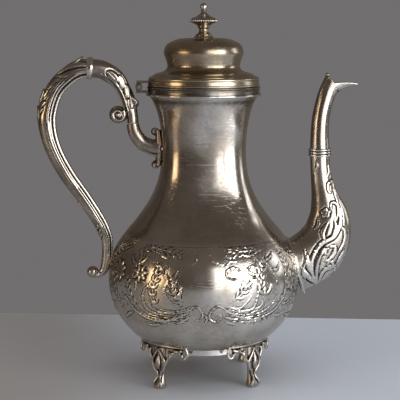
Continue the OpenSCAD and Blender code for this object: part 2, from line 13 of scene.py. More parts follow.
import bpy
import numpy as np
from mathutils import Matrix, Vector


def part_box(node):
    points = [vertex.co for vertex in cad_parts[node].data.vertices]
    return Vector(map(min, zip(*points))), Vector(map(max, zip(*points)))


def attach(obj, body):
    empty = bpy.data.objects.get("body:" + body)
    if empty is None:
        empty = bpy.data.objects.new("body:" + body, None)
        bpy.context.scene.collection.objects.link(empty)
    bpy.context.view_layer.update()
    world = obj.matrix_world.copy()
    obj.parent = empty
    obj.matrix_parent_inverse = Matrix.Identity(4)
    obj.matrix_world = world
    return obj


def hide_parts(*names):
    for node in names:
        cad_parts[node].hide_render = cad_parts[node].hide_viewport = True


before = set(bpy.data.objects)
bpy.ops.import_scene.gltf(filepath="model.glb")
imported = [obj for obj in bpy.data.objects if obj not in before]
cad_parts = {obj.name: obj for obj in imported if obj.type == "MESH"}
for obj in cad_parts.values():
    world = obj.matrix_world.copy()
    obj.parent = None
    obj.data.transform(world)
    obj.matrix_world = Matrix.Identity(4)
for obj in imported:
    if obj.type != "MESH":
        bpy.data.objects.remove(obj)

log = logging.getLogger("coffee_pot")
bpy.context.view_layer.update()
MM = 0.001
RING_LOW, RING_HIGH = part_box("base_ring")
AXIS_X = (RING_LOW.x + RING_HIGH.x) / 2 / MM
POT = "pot"
LID = "lid"

Knots = Sequence[Sequence[float]]


class Slot(Enum):
    """The record's material slots."""

    SILVER = "silver_plate"
    DARK = "tarnished_silver"
    WARM = "warm_silver"
    BRIGHT = "bright_silver"
    BRASS = "brass_fitting"


# ---------------------------------------------------------------- curves


def smooth_line(knots: Knots, steps: int, closed: bool = False) -> np.ndarray:
    """A smooth line through every knot.

    Args:
        knots: the points to pass through, of any dimension.
        steps: points from each knot to the next.
        closed: whether the line returns to its first knot.

    Returns:
        One row per point.
    """
    k = np.asarray(knots, float)
    if closed:
        k = np.vstack([k[-1:], k, k[:2]])
    else:
        k = np.vstack([2 * k[:1] - k[1:2], k, 2 * k[-1:] - k[-2:-1]])
    t = (np.arange(steps) / steps)[:, None]
    rows = [
        0.5 * (2 * b + (c - a) * t + (2 * a - 5 * b + 4 * c - d) * t**2 + (3 * b - a - 3 * c + d) * t**3)
        for a, b, c, d in zip(k, k[1:], k[2:], k[3:])
    ]
    if not closed:
        rows.append(k[-2:-1])
    return np.vstack(rows)


def arc_lengths(line: np.ndarray, dims: int) -> np.ndarray:
    """How far along the line each of its points is, by its first dims columns."""
    return np.concatenate([[0], np.cumsum(np.linalg.norm(np.diff(line[:, :dims], axis=0), axis=1))])


def evenly(line: np.ndarray, step: float, dims: int) -> np.ndarray:
    """The same line with points about step apart.

    Args:
        line: one row per point; columns past dims ride along.
        step: the spacing wanted.
        dims: how many columns are coordinates.

    Returns:
        The new rows.
    """
    s = arc_lengths(line, dims)
    at = np.linspace(0, s[-1], max(3, round(s[-1] / step) + 1))
    return np.column_stack([np.interp(at, s, line[:, i]) for i in range(line.shape[1])])


def ease(t: np.ndarray | float) -> np.ndarray | float:
    """A smooth step from 0 to 1."""
    u = np.clip(t, 0, 1)
    return u * u * (3 - 2 * u)


def hump(x: np.ndarray, centre: float, width: float) -> np.ndarray:
    """A soft bump of height 1 at centre."""
    return np.exp(-(((x - centre) / width) ** 2))


def units(rows: np.ndarray) -> np.ndarray:
    """Each row scaled to length 1."""
    return rows / np.maximum(np.linalg.norm(rows, axis=-1, keepdims=True), 1e-9)


def superellipse(q: np.ndarray, power: np.ndarray) -> np.ndarray:
    """Radius of a unit superellipse, which is a circle at power 2 and squarer above."""
    return (np.abs(np.cos(q)) ** power + np.abs(np.sin(q)) ** power) ** (-1 / power)


# ---------------------------------------------------------------- relief


class Cut(Enum):
    """The section of a chased or cast stroke, across its width."""

    BEAD = "bead"
    LEAF = "leaf"
    RIBBON = "ribbon"
    LINE = "line"

    def section(self, q: np.ndarray) -> np.ndarray:
        """Height at q, which is 0 on the stroke's middle line and 1 at its edge.

        Args:
            q: distance from the middle line.

        Returns:
            The height, as a share of the stroke's own.
        """
        inside = np.clip(1 - q * q, 0, 1)
        if self is Cut.BEAD:
            return np.sqrt(inside)
        if self is Cut.LEAF:
            return inside**0.6 * (0.75 + 0.25 * q) - 0.5 * np.exp(-((q / 0.16) ** 2))
        if self is Cut.RIBBON:
            return inside**0.35 * (0.55 + 0.45 * hump(q, 0.75, 0.2))
        return -np.exp(-2.5 * q * q)


@dataclass(frozen=True)
class Stroke:
    """One line of ornament: its control points, width, height and section."""

    points: tuple[tuple[float, float], ...]
    width: float
    height: float = 0.5
    cut: Cut = Cut.BEAD
    closed: bool = False


class ReliefMap:
    """A flat board of raised and engraved work, in millimetres, read back by a surface."""

    def __init__(self, low: tuple[float, float], high: tuple[float, float], step: float = 0.25) -> None:
        """Makes an empty board.

        Args:
            low, high: the board's corners.
            step: the spacing of its grid.
        """
        self.low = np.array(low, float)
        self.step = step
        shape = np.ceil((np.array(high, float) - self.low) / step).astype(int) + 2
        self.raised = np.zeros(shape)
        self.sunk = np.zeros(shape)

    def draw(self, stroke: Stroke, place: Callable[[np.ndarray], np.ndarray] = np.asarray) -> None:
        """Adds a stroke, with a fine sunk line beside it.

        Args:
            stroke: what to draw.
            place: turns the stroke's own coordinates into the board's.
        """
        line = place(smooth_line(stroke.points, 12, stroke.closed))
        line = evenly(line, self.step * 1.2, 2)
        t = np.linspace(0, 1, len(line))
        swell = np.ones(len(t)) if stroke.closed else 0.3 + 0.7 * np.sin(math.pi * t) ** 0.6
        if stroke.cut is Cut.LEAF:
            swell = np.sin(math.pi * (0.04 + 0.94 * t)) ** 0.85
        half = np.maximum(stroke.width / 2 * swell, self.step)
        reach = int(np.ceil(stroke.width / self.step)) + 3
        rows, cols = self.raised.shape
        cells = (line - self.low) / self.step
        first = np.clip(np.floor(cells.min(0)).astype(int) - reach, 0, [rows, cols])
        last = np.clip(np.ceil(cells.max(0)).astype(int) + reach, 0, [rows, cols])
        if (last <= first).any():
            return
        near = np.full(last - first, 9.0)
        for (u, v), w in zip(cells - first, half / self.step):
            a0, a1 = max(0, int(u) - reach), int(u) + reach + 1
            b0, b1 = max(0, int(v) - reach), int(v) + reach + 1
            patch = near[a0:a1, b0:b1]
            if patch.size:
                du = np.arange(a0, a0 + patch.shape[0])[:, None] - u
                dv = np.arange(b0, b0 + patch.shape[1])[None, :] - v
                np.minimum(patch, np.sqrt(du * du + dv * dv) / w, out=patch)
        area = np.s_[first[0]:last[0], first[1]:last[1]]
        if stroke.cut is Cut.LINE:
            self.sunk[area] = np.minimum(self.sunk[area], stroke.height * stroke.cut.section(near))
            return
        over = near < 1
        self.raised[area] = np.where(over, stroke.height * stroke.cut.section(near), self.raised[area])
        self.sunk[area] = np.where(over, 0, self.sunk[area])
        beside = np.where(over, 0, -0.7 * stroke.height * hump(near, 1.25, 0.35))
        keep = self.raised[area] <= 0.02
        self.sunk[area] = np.where(keep, np.minimum(self.sunk[area], beside), self.sunk[area])

    def read(self, u: np.ndarray, v: np.ndarray) -> np.ndarray:
        """Heights at board coordinates u and v, between the grid's points.

        Args:
            u, v: where to read.

        Returns:
            The heights.
        """
        sheet = self.raised + self.sunk
        a = np.clip((u - self.low[0]) / self.step, 0, sheet.shape[0] - 1.001)
        b = np.clip((v - self.low[1]) / self.step, 0, sheet.shape[1] - 1.001)
        i, j = a.astype(int), b.astype(int)
        x, y = a - i, b - j
        return (
            sheet[i, j] * (1 - x) * (1 - y) + sheet[i + 1, j] * x * (1 - y)
            + sheet[i, j + 1] * (1 - x) * y + sheet[i + 1, j + 1] * x * y
        )


def flower(x: float, y: float, radius: float, petals: int, turn: float, height: float) -> list[Stroke]:
    """A round flower: petals about a boss.

    Args:
        x, y: the flower's middle.
        radius: how far the petals reach.
        petals: how many there are.
        turn: the first petal's direction, in degrees.
        height: how proud they stand.

    Returns:
        Its strokes.
    """
    strokes = []
    for i in range(petals):
        q = math.radians(turn + 360 * i / petals)
        ends = [(x + s * radius * math.cos(q), y + s * radius * math.sin(q)) for s in (0.2, 0.6, 1.0)]
        strokes.append(Stroke(tuple(ends), radius * 0.85, height, Cut.LEAF))
    strokes.append(Stroke(((x - 0.2, y), (x + 0.2, y)), radius * 0.42, height * 1.2))
    return strokes


def spray(stem: Sequence[tuple[float, float]], pitch: float, length: float, lean: float) -> list[Stroke]:
    """Small leaves in pairs along a stem.

    Args:
        stem: the stem's points.
        pitch: distance between the pairs.
        length: how long the middle leaves are; those at both ends are shorter.
        lean: angle between a leaf and the stem, in degrees.

    Returns:
        One stroke for each leaf, and a thin one for the stem.
    """
    line = evenly(smooth_line(tuple(stem), 8), pitch, 2)
    strokes = [Stroke(tuple(stem), 1.4, 0.45)]
    for i in range(1, len(line) - 1):
        ahead = math.atan2(*(line[i + 1] - line[i - 1])[::-1])
        reach = length * (0.55 + 0.45 * math.sin(math.pi * i / (len(line) - 1)))
        for s in (-1, 1):
            q = ahead + s * math.radians(lean)
            mid = line[i] + reach * 0.55 * np.array([math.cos(q), math.sin(q)])
            q -= s * math.radians(lean * 0.6)
            tip = mid + reach * 0.5 * np.array([math.cos(q), math.sin(q)])
            strokes.append(Stroke((tuple(line[i]), tuple(mid), tuple(tip)), 2.9, 0.55, Cut.LEAF))
    return strokes


def scroll(x: float, y: float, radius: float, turns: float, start: float, width: float,
           height: float = 0.5) -> Stroke:
    """A stroke that winds in to a point; a negative count of turns winds the other way.

    Args:
        x, y: its middle.
        radius: its outer radius.
        turns: how far it winds.
        start: the direction of its outer end, in degrees.
        width, height: the size of the stroke.

    Returns:
        The stroke.
    """
    q = np.linspace(0, 2 * math.pi * turns, 9) + math.radians(start)
    r = radius * np.linspace(1, 0.12, 9)
    return Stroke(tuple((x + a * math.cos(b), y + a * math.sin(b)) for a, b in zip(r, q)), width, height)


# ---------------------------------------------------------------- shells


@dataclass
class Shell:
    """A closed surface: its points, its four-sided and three-sided faces, and its relief."""

    points: np.ndarray
    quads: np.ndarray
    tris: np.ndarray
    relief: np.ndarray

    @staticmethod
    def grid(points: np.ndarray, relief: np.ndarray | None = None, loop: bool = False) -> "Shell":
        """A shell over rings of points.

        Args:
            points: an array of rings by points by 3.
            relief: how proud each point stands, if it is worked.
            loop: whether the last ring joins the first; otherwise both ends are capped.

        Returns:
            The shell, facing outwards.
        """
        rings, count, _ = points.shape
        i = np.arange(rings if loop else rings - 1)[:, None]
        j = np.arange(count)[None, :]
        k = (j + 1) % count
        n = (i + 1) % rings
        quads = np.stack([i * count + j, i * count + k, n * count + k, n * count + j], -1).reshape(-1, 4)
        flat = points.reshape(-1, 3)
        work = np.zeros(len(flat)) if relief is None else relief.reshape(-1)
        tris = np.zeros((0, 3), int)
        if not loop:
            j = np.arange(count)
            k = (j + 1) % count
            low, high = len(flat), len(flat) + 1
            tris = np.vstack([
                np.column_stack([np.full(count, low), k, j]),
                np.column_stack([np.full(count, high), (rings - 1) * count + j, (rings - 1) * count + k]),
            ])
            flat = np.vstack([flat, points[0].mean(0), points[-1].mean(0)])
            work = np.append(work, [work[:count].mean(), work[-count:].mean()])
        return Shell(flat, quads, tris, work).outward()

    @staticmethod
    def revolve(profile: np.ndarray, segments: int = 192, loop: bool = False) -> "Shell":
        """A turned shape from rows of radius and height.

        Args:
            profile: radius and height, one row per point.
            segments: points in each ring.
            loop: whether the profile closes on itself.

        Returns:
            The turned shell.
        """
        q = np.arange(segments) * 2 * math.pi / segments
        r, z = profile[:, :1], profile[:, 1:2]
        return Shell.grid(np.stack([r * np.cos(q), r * np.sin(q), z + 0 * q], -1), loop=loop)

    @staticmethod
    def tube(line: np.ndarray, a: np.ndarray, b: np.ndarray, across: Sequence[float], segments: int = 48,
             relief: Callable[[np.ndarray, np.ndarray], np.ndarray] | None = None,
             loop: bool = False) -> "Shell":
        """A round bar along a line.

        Args:
            line: the middle line, as rows of x, y, z.
            a: half size at each point, along the normal that lies square to across.
            b: half size at each point, along across.
            across: a direction that the line never follows.
            segments: points in each ring.
            relief: height from distance along the line and angle in degrees, where 0 is the
                normal and 90 is across.
            loop: whether the line is closed.

        Returns:
            The shell.
        """
        if loop:
            ahead = units(np.roll(line, -1, 0) - np.roll(line, 1, 0))
        else:
            ahead = units(np.gradient(line, axis=0))
        side = units(np.asarray(across, float) - ahead * (ahead @ np.asarray(across, float))[:, None])
        normal = np.cross(side, ahead)
        q = np.arange(segments) * 2 * math.pi / segments
        along = arc_lengths(line, 3)[:, None] + 0 * q
        angle = (np.degrees(q) + 180) % 360 - 180 + 0 * along
        height = relief(along, angle) if relief else 0 * along
        ra = (np.asarray(a, float) * np.ones(len(line)))[:, None] + height
        rb = (np.asarray(b, float) * np.ones(len(line)))[:, None] + height
        points = (
            line[:, None, :] + normal[:, None, :] * (ra * np.cos(q))[..., None]
            + side[:, None, :] * (rb * np.sin(q))[..., None]
        )
        return Shell.grid(points, height, loop)

    @staticmethod
    def ball(centre: Sequence[float], radius: float, tall: float = 1.0, segments: int = 32) -> "Shell":
        """A round boss, stretched upwards by tall.

        Args:
            centre: its middle.
            radius: its radius.
            tall: how much taller it is than wide.
            segments: points round it.

        Returns:
            The boss.
        """
        q = np.linspace(-math.pi / 2, math.pi / 2, segments // 2 + 1)[1:-1]
        profile = np.column_stack([radius * np.cos(q), radius * tall * np.sin(q)])
        return Shell.revolve(profile, segments).moved(centre)

    @property
    def triangles(self) -> np.ndarray:
        """Every face as triangles."""
        return np.vstack([self.quads[:, [0, 1, 2]], self.quads[:, [0, 2, 3]], self.tris])

    def outward(self) -> "Shell":
        """The same shell, facing outwards.

        Returns:
            The shell, turned inside out if it has to be.
        """
        a, b, c = (self.points[self.triangles[:, i]] for i in range(3))
        if np.einsum("ij,ij->", a, np.cross(b, c)) < 0:
            return Shell(self.points, self.quads[:, ::-1], self.tris[:, ::-1], self.relief)
        return self

    def moved(self, offset: Sequence[float]) -> "Shell":
        """A copy shifted by offset."""
        return Shell(self.points + np.asarray(offset, float), self.quads, self.tris, self.relief)

    def turned(self, degrees: float) -> "Shell":
        """A copy turned about the upright axis.

        Args:
            degrees: how far, from the front towards the spout.

        Returns:
            The turned copy.
        """
        c, s = math.cos(math.radians(degrees)), math.sin(math.radians(degrees))
        matrix = np.array([[c, s, 0], [-s, c, 0], [0, 0, 1]])
        return Shell(self.points @ matrix, self.quads, self.tris, self.relief)

    def mapped(self, change: Callable[[np.ndarray], np.ndarray]) -> "Shell":
        """A copy with its points changed, facing outwards."""
        return Shell(change(self.points), self.quads, self.tris, self.relief).outward()


def spread(values: np.ndarray, edges: np.ndarray, passes: int) -> np.ndarray:
    """Values evened out over neighbouring points, passes times.

    Args:
        values: one value for each point.
        edges: pairs of points that are joined.
        passes: how often to even them out.

    Returns:
        The new values.
    """
    count = len(values)
    a, b = edges[:, 0], edges[:, 1]
    degree = np.maximum(np.bincount(a, minlength=count) + np.bincount(b, minlength=count), 1)
    for _ in range(passes):
        total = np.bincount(a, values[b], count) + np.bincount(b, values[a], count)
        values = 0.4 * values + 0.6 * total / degree
    return values


class Piece:
    """One finished mesh of the pot, with its hollows marked for the patina."""

    def __init__(self, name: str, shells: Sequence[Shell], melt: float = 0.0) -> None:
        """Joins shells to one mesh.

        Args:
            name: the piece's name.
            shells: its closed surfaces, which may run into each other.
            melt: the grain, in millimetres, at which they are melted to one skin, or 0 to leave them.
        """
        points = np.vstack([s.points for s in shells])
        shift = np.cumsum([0] + [len(s.points) for s in shells])
        faces = [f for s, n in zip(shells, shift) for f in (s.quads + n).tolist() + (s.tris + n).tolist()]
        mesh = bpy.data.meshes.new(name)
        mesh.from_pydata(((points + [AXIS_X, 0, 0]) * MM).tolist(), [], faces)
        self.object = bpy.data.objects.new(name, mesh)
        bpy.context.scene.collection.objects.link(self.object)
        relief = np.concatenate([s.relief for s in shells])
        if melt:
            self._melt(melt)
            relief = None
        self._mark(relief)
        self.object.data.shade_smooth()
        self.object.data.set_sharp_from_angle(angle=math.radians(58))

    def _melt(self, grain: float) -> None:
        """Turns the joined shells into one skin and rounds it a little.

        Args:
            grain: size of the remeshing grid.
        """
        remesh = self.object.modifiers.new("melt", "REMESH")
        remesh.mode = "VOXEL"
        remesh.voxel_size = grain * MM
        soften = self.object.modifiers.new("soften", "SMOOTH")
        soften.factor, soften.iterations = 0.5, 2
        graph = bpy.context.evaluated_depsgraph_get()
        made = bpy.data.meshes.new_from_object(self.object.evaluated_get(graph))
        self.object.modifiers.clear()
        old = self.object.data
        self.object.data = made
        made.name = self.object.name
        bpy.data.meshes.remove(old)

    def _mark(self, relief: np.ndarray | None) -> None:
        """Writes the hollow attribute: below 0 in a recess and above 0 on a ridge.

        Args:
            relief: the worked height at each point, where it is known.
        """
        mesh = self.object.data
        count = len(mesh.vertices)
        edges = np.zeros(len(mesh.edges) * 2, np.int32)
        mesh.edges.foreach_get("vertices", edges)
        edges = edges.reshape(-1, 2)
        if relief is not None and np.ptp(relief) > 0.01:
            hollow = (relief - spread(relief, edges, 14)) / 0.22
        else:
            places = np.zeros(count * 3)
            mesh.vertices.foreach_get("co", places)
            places = places.reshape(-1, 3) / MM
            normals = np.zeros(count * 3)
            mesh.vertex_normals.foreach_get("vector", normals)
            even = np.column_stack([spread(places[:, i], edges, 10) for i in range(3)])
            out = np.einsum("ij,ij->i", places - even, normals.reshape(-1, 3))
            hollow = (out - np.median(out)) / 0.16
        marks = mesh.attributes.new("hollow", "FLOAT", "POINT")
        marks.data.foreach_set("value", np.clip(hollow, -1.5, 1.5).astype(np.float32))

    def finished(self, finish: "Finish", slot: Slot, body: str, *nodes: str) -> "Piece":
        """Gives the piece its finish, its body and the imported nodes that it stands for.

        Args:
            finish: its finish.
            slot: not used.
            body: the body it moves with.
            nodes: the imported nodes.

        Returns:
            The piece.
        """
        self.object.data.materials.append(finish.material())
        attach(self.object, body)
        if nodes:
            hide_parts(*nodes)
        log.info("%s: %d points", self.object.name, len(self.object.data.vertices))
        return self


# ---------------------------------------------------------------- finishes


class Groups:
    """Shader node groups that several finishes place, each made once."""

    made: dict[str, bpy.types.NodeTree] = {}

    @classmethod
    def _start(cls, name: str, inputs: dict[str, object], outputs: dict[str, str]) -> bpy.types.NodeTree:
        """An empty group with its sockets.

        Args:
            name: the group's name.
            inputs: each input with its value.
            outputs: each output with its kind.

        Returns:
            The group.
        """
        tree = bpy.data.node_groups.new(name, "ShaderNodeTree")
        for title, value in inputs.items():
            kind = "NodeSocketFloat" if isinstance(value, float) else "NodeSocketColor"
            socket = tree.interface.new_socket(title, in_out="INPUT", socket_type=kind)
            socket.default_value = value
        for title, kind in outputs.items():
            tree.interface.new_socket(title, in_out="OUTPUT", socket_type=kind)
        cls.made[name] = tree
        return tree

    @classmethod
    def wear(cls) -> bpy.types.NodeTree:
        """Where the metal is tarnished, holds dirt or is rubbed bright, each from 0 to 1.

        Returns:
            The group.
        """
        if "wear" in cls.made:
            return cls.made["wear"]
        tree = cls._start(
            "wear",
            {"Tarnish": 0.5, "Patch Scale": 30.0, "Dirt": 1.0, "Rub": 1.0},
            {"Tarnish": "NodeSocketFloat", "Dirt": "NodeSocketFloat", "Rub": "NodeSocketFloat"},
        )
        g = Graph(tree)
        given = g.node("NodeGroupInput")
        placed = g.node("ShaderNodeTexCoord").outputs["Object"]
        patches = g.noise(placed, given.outputs["Patch Scale"], 4.0, 0.62)
        specks = g.noise(placed, 420.0, 3.0, 0.6)
        mottle = g.sum(g.times(patches, 0.8), g.times(specks, 0.2))
        level = g.sum(mottle, g.sum(given.outputs["Tarnish"], -0.5))
        hollow = g.node("ShaderNodeAttribute")
        hollow.attribute_name = "hollow"
        depth = hollow.outputs["Fac"]
        g.out("Tarnish", g.span(level, 0.3, 0.75, 0.0, 1.0))
        ragged = g.sum(g.times(depth, -1.0), g.times(g.sum(specks, -0.5), 0.5))
        g.out("Dirt", g.times(g.span(ragged, 0.08, 0.85, 0.0, 1.0), given.outputs["Dirt"]))
        g.out("Rub", g.times(g.span(depth, 0.1, 0.9, 0.0, 1.0), given.outputs["Rub"]))
        return tree

    @classmethod
    def metal(cls) -> bpy.types.NodeTree:
        """The colour and roughness of worn silver from its wear.

        Returns:
            The group.
        """
        if "metal" in cls.made:
            return cls.made["metal"]
        tree = cls._start(
            "metal",
            {
                "Clean": (0.8, 0.8, 0.8, 1.0), "Dull": (0.4, 0.35, 0.3, 1.0),
                "Soot": (0.03, 0.03, 0.03, 1.0), "Smooth": 0.15, "Rough": 0.3,
                "Tarnish": 0.0, "Dirt": 0.0, "Rub": 0.0,
            },
            {"Color": "NodeSocketColor", "Roughness": "NodeSocketFloat"},
        )
        g = Graph(tree)
        given = g.node("NodeGroupInput").outputs
        placed = g.node("ShaderNodeTexCoord").outputs["Object"]
        colour = g.blend(given["Tarnish"], given["Clean"], given["Dull"])
        colour = g.blend(given["Rub"], colour, given["Clean"])
        g.out("Color", g.blend(given["Dirt"], colour, given["Soot"]))
        base = g.mix(given["Tarnish"], given["Smooth"], given["Rough"])
        smear = g.span(g.noise(placed, 90.0, 3.0, 0.55), 0.3, 0.7, -0.03, 0.04)
        g.out("Roughness", g.sum(g.sum(base, smear), g.times(given["Dirt"], 0.3)))
        return tree

    @classmethod
    def handling(cls) -> bpy.types.NodeTree:
        """Height of soft dents and fine scratches from years of use.

        Returns:
            The group.
        """
        if "handling" in cls.made:
            return cls.made["handling"]
        tree = cls._start(
            "handling", {"Dents": 0.5, "Scratches": 0.5, "Dent Scale": 45.0}, {"Height": "NodeSocketFloat"}
        )
        g = Graph(tree)
        given = g.node("NodeGroupInput").outputs
        placed = g.node("ShaderNodeTexCoord").outputs["Object"]
        dents = g.times(g.noise(placed, given["Dent Scale"], 2.0, 0.5), given["Dents"])
        strokes = []
        for turn in (0.4, 1.3, 2.5):
            lie = g.node("ShaderNodeMapping")
            lie.inputs["Rotation"].default_value = (turn, turn * 0.7, turn * 1.9)
            lie.inputs["Scale"].default_value = (18.0, 900.0, 900.0)
            g.tree.links.new(placed, lie.inputs["Vector"])
            fine = g.noise(lie.outputs["Vector"], 1.0, 1.0, 0.5)
            strokes.append(g.span(fine, 0.66, 0.76, 0.0, -1.0))
        marks = g.times(g.sum(g.sum(strokes[0], strokes[1]), strokes[2]), given["Scratches"])
        g.out("Height", g.sum(dents, marks))
        return tree


class Graph:
    """Short ways to place and join shader nodes in one tree."""

    def __init__(self, tree: bpy.types.NodeTree) -> None:
        """Args: tree is the node tree to work in."""
        self.tree = tree
        self.end: bpy.types.Node | None = None

    def node(self, kind: str) -> bpy.types.Node:
        """A new node."""
        return self.tree.nodes.new(kind)

    def feed(self, socket: bpy.types.NodeSocket, value: object) -> None:
        """Joins an output to a socket, or sets the socket to a number.

        Args:
            socket: the socket to fill.
            value: an output or a number.
        """
        if isinstance(value, bpy.types.NodeSocket):
            self.tree.links.new(value, socket)
        else:
            socket.default_value = value

    def _math(self, kind: str, a: object, b: object) -> bpy.types.NodeSocket:
        """One sum or product of two values.

        Args:
            kind: which operation.
            a, b: its two values.

        Returns:
            The result.
        """
        step = self.node("ShaderNodeMath")
        step.operation = kind
        self.feed(step.inputs[0], a)
        self.feed(step.inputs[1], b)
        return step.outputs[0]

    def sum(self, a: object, b: object) -> bpy.types.NodeSocket:
        """a plus b."""
        return self._math("ADD", a, b)

    def times(self, a: object, b: object) -> bpy.types.NodeSocket:
        """a times b."""
        return self._math("MULTIPLY", a, b)

    def span(self, value: object, low: float, high: float, to_low: float, to_high: float
             ) -> bpy.types.NodeSocket:
        """The value moved from one range to another with soft ends.

        Args:
            value: what to move.
            low, high: its own range.
            to_low, to_high: the new range.

        Returns:
            The result.
        """
        step = self.node("ShaderNodeMapRange")
        step.interpolation_type = "SMOOTHSTEP"
        for name, given in zip(("Value", "From Min", "From Max", "To Min", "To Max"),
                               (value, low, high, to_low, to_high)):
            self.feed(step.inputs[name], given)
        return step.outputs["Result"]

    def noise(self, place: object, scale: object, detail: float, roughness: float
              ) -> bpy.types.NodeSocket:
        """Smooth noise from 0 to 1.

        Args:
            place: where it is read.
            scale: how fine it is.
            detail: how many finer layers it has.
            roughness: how strong they are.

        Returns:
            The noise.
        """
        step = self.node("ShaderNodeTexNoise")
        self.feed(step.inputs["Vector"], place)
        self.feed(step.inputs["Scale"], scale)
        step.inputs["Detail"].default_value = detail
        step.inputs["Roughness"].default_value = roughness
        return step.outputs["Fac"]

    def blend(self, share: object, a: object, b: object) -> bpy.types.NodeSocket:
        """A colour between a and b.

        Args:
            share: how much of b.
            a, b: the two colours.

        Returns:
            The colour.
        """
        step = self.node("ShaderNodeMix")
        step.data_type = "RGBA"
        for index, given in ((0, share), (6, a), (7, b)):
            self.feed(step.inputs[index], given)
        return step.outputs[2]

    def mix(self, share: object, a: object, b: object) -> bpy.types.NodeSocket:
        """A number between a and b.

        Args:
            share: how much of b.
            a, b: the two numbers.

        Returns:
            The number.
        """
        step = self.node("ShaderNodeMix")
        for index, given in ((0, share), (2, a), (3, b)):
            self.feed(step.inputs[index], given)
        return step.outputs[0]

    def out(self, name: str, value: object) -> None:
        """Joins a value to one of the group's outputs.

        Args:
            name: the output's name.
            value: what goes to it.
        """
        if self.end is None:
            self.end = self.node("NodeGroupOutput")
        self.feed(self.end.inputs[name], value)

    def group(self, tree: bpy.types.NodeTree, **values: object) -> bpy.types.Node:
        """Places a node group with its inputs set; an underscore in a name stands for a space.

        Args:
            tree: the group.
            values: its inputs.

        Returns:
            The placed node.
        """
        step = self.node("ShaderNodeGroup")
        step.node_tree = tree
        for name, value in values.items():
            self.feed(step.inputs[name.replace("_", " ")], value)
        return step


@dataclass(frozen=True)
class Finish:
    """One worn metal finish."""

    name: str
    clean: tuple[float, float, float]
    dull: tuple[float, float, float]
    soot: tuple[float, float, float] = (0.035, 0.028, 0.022)
    smooth: float = 0.15
    rough: float = 0.3
    tarnish: float = 0.5
    dirt: float = 0.9
    rub: float = 0.8
    patch_scale: float = 30.0
    dents: float = 0.5
    scratches: float = 0.35
    bump: float = 0.25

    def material(self) -> bpy.types.Material:
        """The finish as a material, made once.

        Returns:
            The material.
        """
        found = bpy.data.materials.get(self.name)
        if found:
            return found
        made = bpy.data.materials.new(self.name)
        made.use_nodes = True
        made.node_tree.nodes.clear()
        g = Graph(made.node_tree)
        wear = g.group(
            Groups.wear(), Tarnish=self.tarnish, Patch_Scale=self.patch_scale, Dirt=self.dirt, Rub=self.rub
        )
        metal = g.group(
            Groups.metal(), Clean=(*self.clean, 1), Dull=(*self.dull, 1), Soot=(*self.soot, 1),
            Smooth=self.smooth, Rough=self.rough, Tarnish=wear.outputs["Tarnish"],
            Dirt=wear.outputs["Dirt"], Rub=wear.outputs["Rub"],
        )
        handling = g.group(Groups.handling(), Dents=self.dents, Scratches=self.scratches)
        bump = g.node("ShaderNodeBump")
        bump.inputs["Strength"].default_value = self.bump
        bump.inputs["Distance"].default_value = 0.4 * MM
        g.feed(bump.inputs["Height"], handling.outputs["Height"])
        shader = g.node("ShaderNodeBsdfPrincipled")
        shader.inputs["Metallic"].default_value = 1.0
        g.feed(shader.inputs["Base Color"], metal.outputs["Color"])
        g.feed(shader.inputs["Roughness"], metal.outputs["Roughness"])
        g.feed(shader.inputs["Normal"], bump.outputs["Normal"])
        g.feed(g.node("ShaderNodeOutputMaterial").inputs["Surface"], shader.outputs["BSDF"])
        return made

    def dress(self, *nodes: str) -> None:
        """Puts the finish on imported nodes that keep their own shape.

        Args:
            nodes: their names.
        """
        for name in nodes:
            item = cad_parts[name]
            item.data.materials.clear()
            item.data.materials.append(self.material())
            item.data.polygons.foreach_set("use_smooth", [True] * len(item.data.polygons))
            item.data.set_sharp_from_angle(angle=math.radians(35))
            log.info("%s: dressed in %s", name, self.name)


BODY_SILVER = Finish("aged_silver", (0.62, 0.59, 0.55), (0.36, 0.31, 0.26), smooth=0.13, rough=0.24,
                     tarnish=0.5, dents=0.8)
CHASED_SILVER = Finish("chased_silver", (0.72, 0.69, 0.64), (0.40, 0.34, 0.28), smooth=0.16, rough=0.28,
                       tarnish=0.5, dirt=1.0, rub=1.0)
WARM_SILVER = Finish("warm_tarnish", (0.60, 0.53, 0.42), (0.36, 0.29, 0.20), smooth=0.16, rough=0.28,
                     tarnish=0.55)
CAST_SILVER = Finish("cast_silver", (0.66, 0.62, 0.57), (0.30, 0.26, 0.22), smooth=0.17, rough=0.3,
                     tarnish=0.55, dirt=1.0, rub=1.0, patch_scale=70.0)
BRIGHT_SILVER = Finish("rubbed_silver", (0.80, 0.78, 0.74), (0.50, 0.45, 0.39), smooth=0.12, rough=0.22,
                       tarnish=0.35, patch_scale=60.0)
INNER_SILVER = Finish("unpolished_silver", (0.42, 0.39, 0.35), (0.2, 0.17, 0.14), smooth=0.3, rough=0.45,
                      tarnish=0.6)
# A darker copy of the silver, as painted shade: it darkens the mouth collar under the lid's rim and the hinge
# leaves, which sit in shade.
SHADE_PAINTED_SILVER = Finish("painted_shade_silver", (0.36, 0.33, 0.30), (0.17, 0.145, 0.12), smooth=0.16, rough=0.3,
                       tarnish=0.6, dirt=1.0)
BRASS = Finish("worn_brass", (0.66, 0.50, 0.26), (0.34, 0.25, 0.13), smooth=0.22, rough=0.36,
               patch_scale=120.0)


# ---------------------------------------------------------------- the body


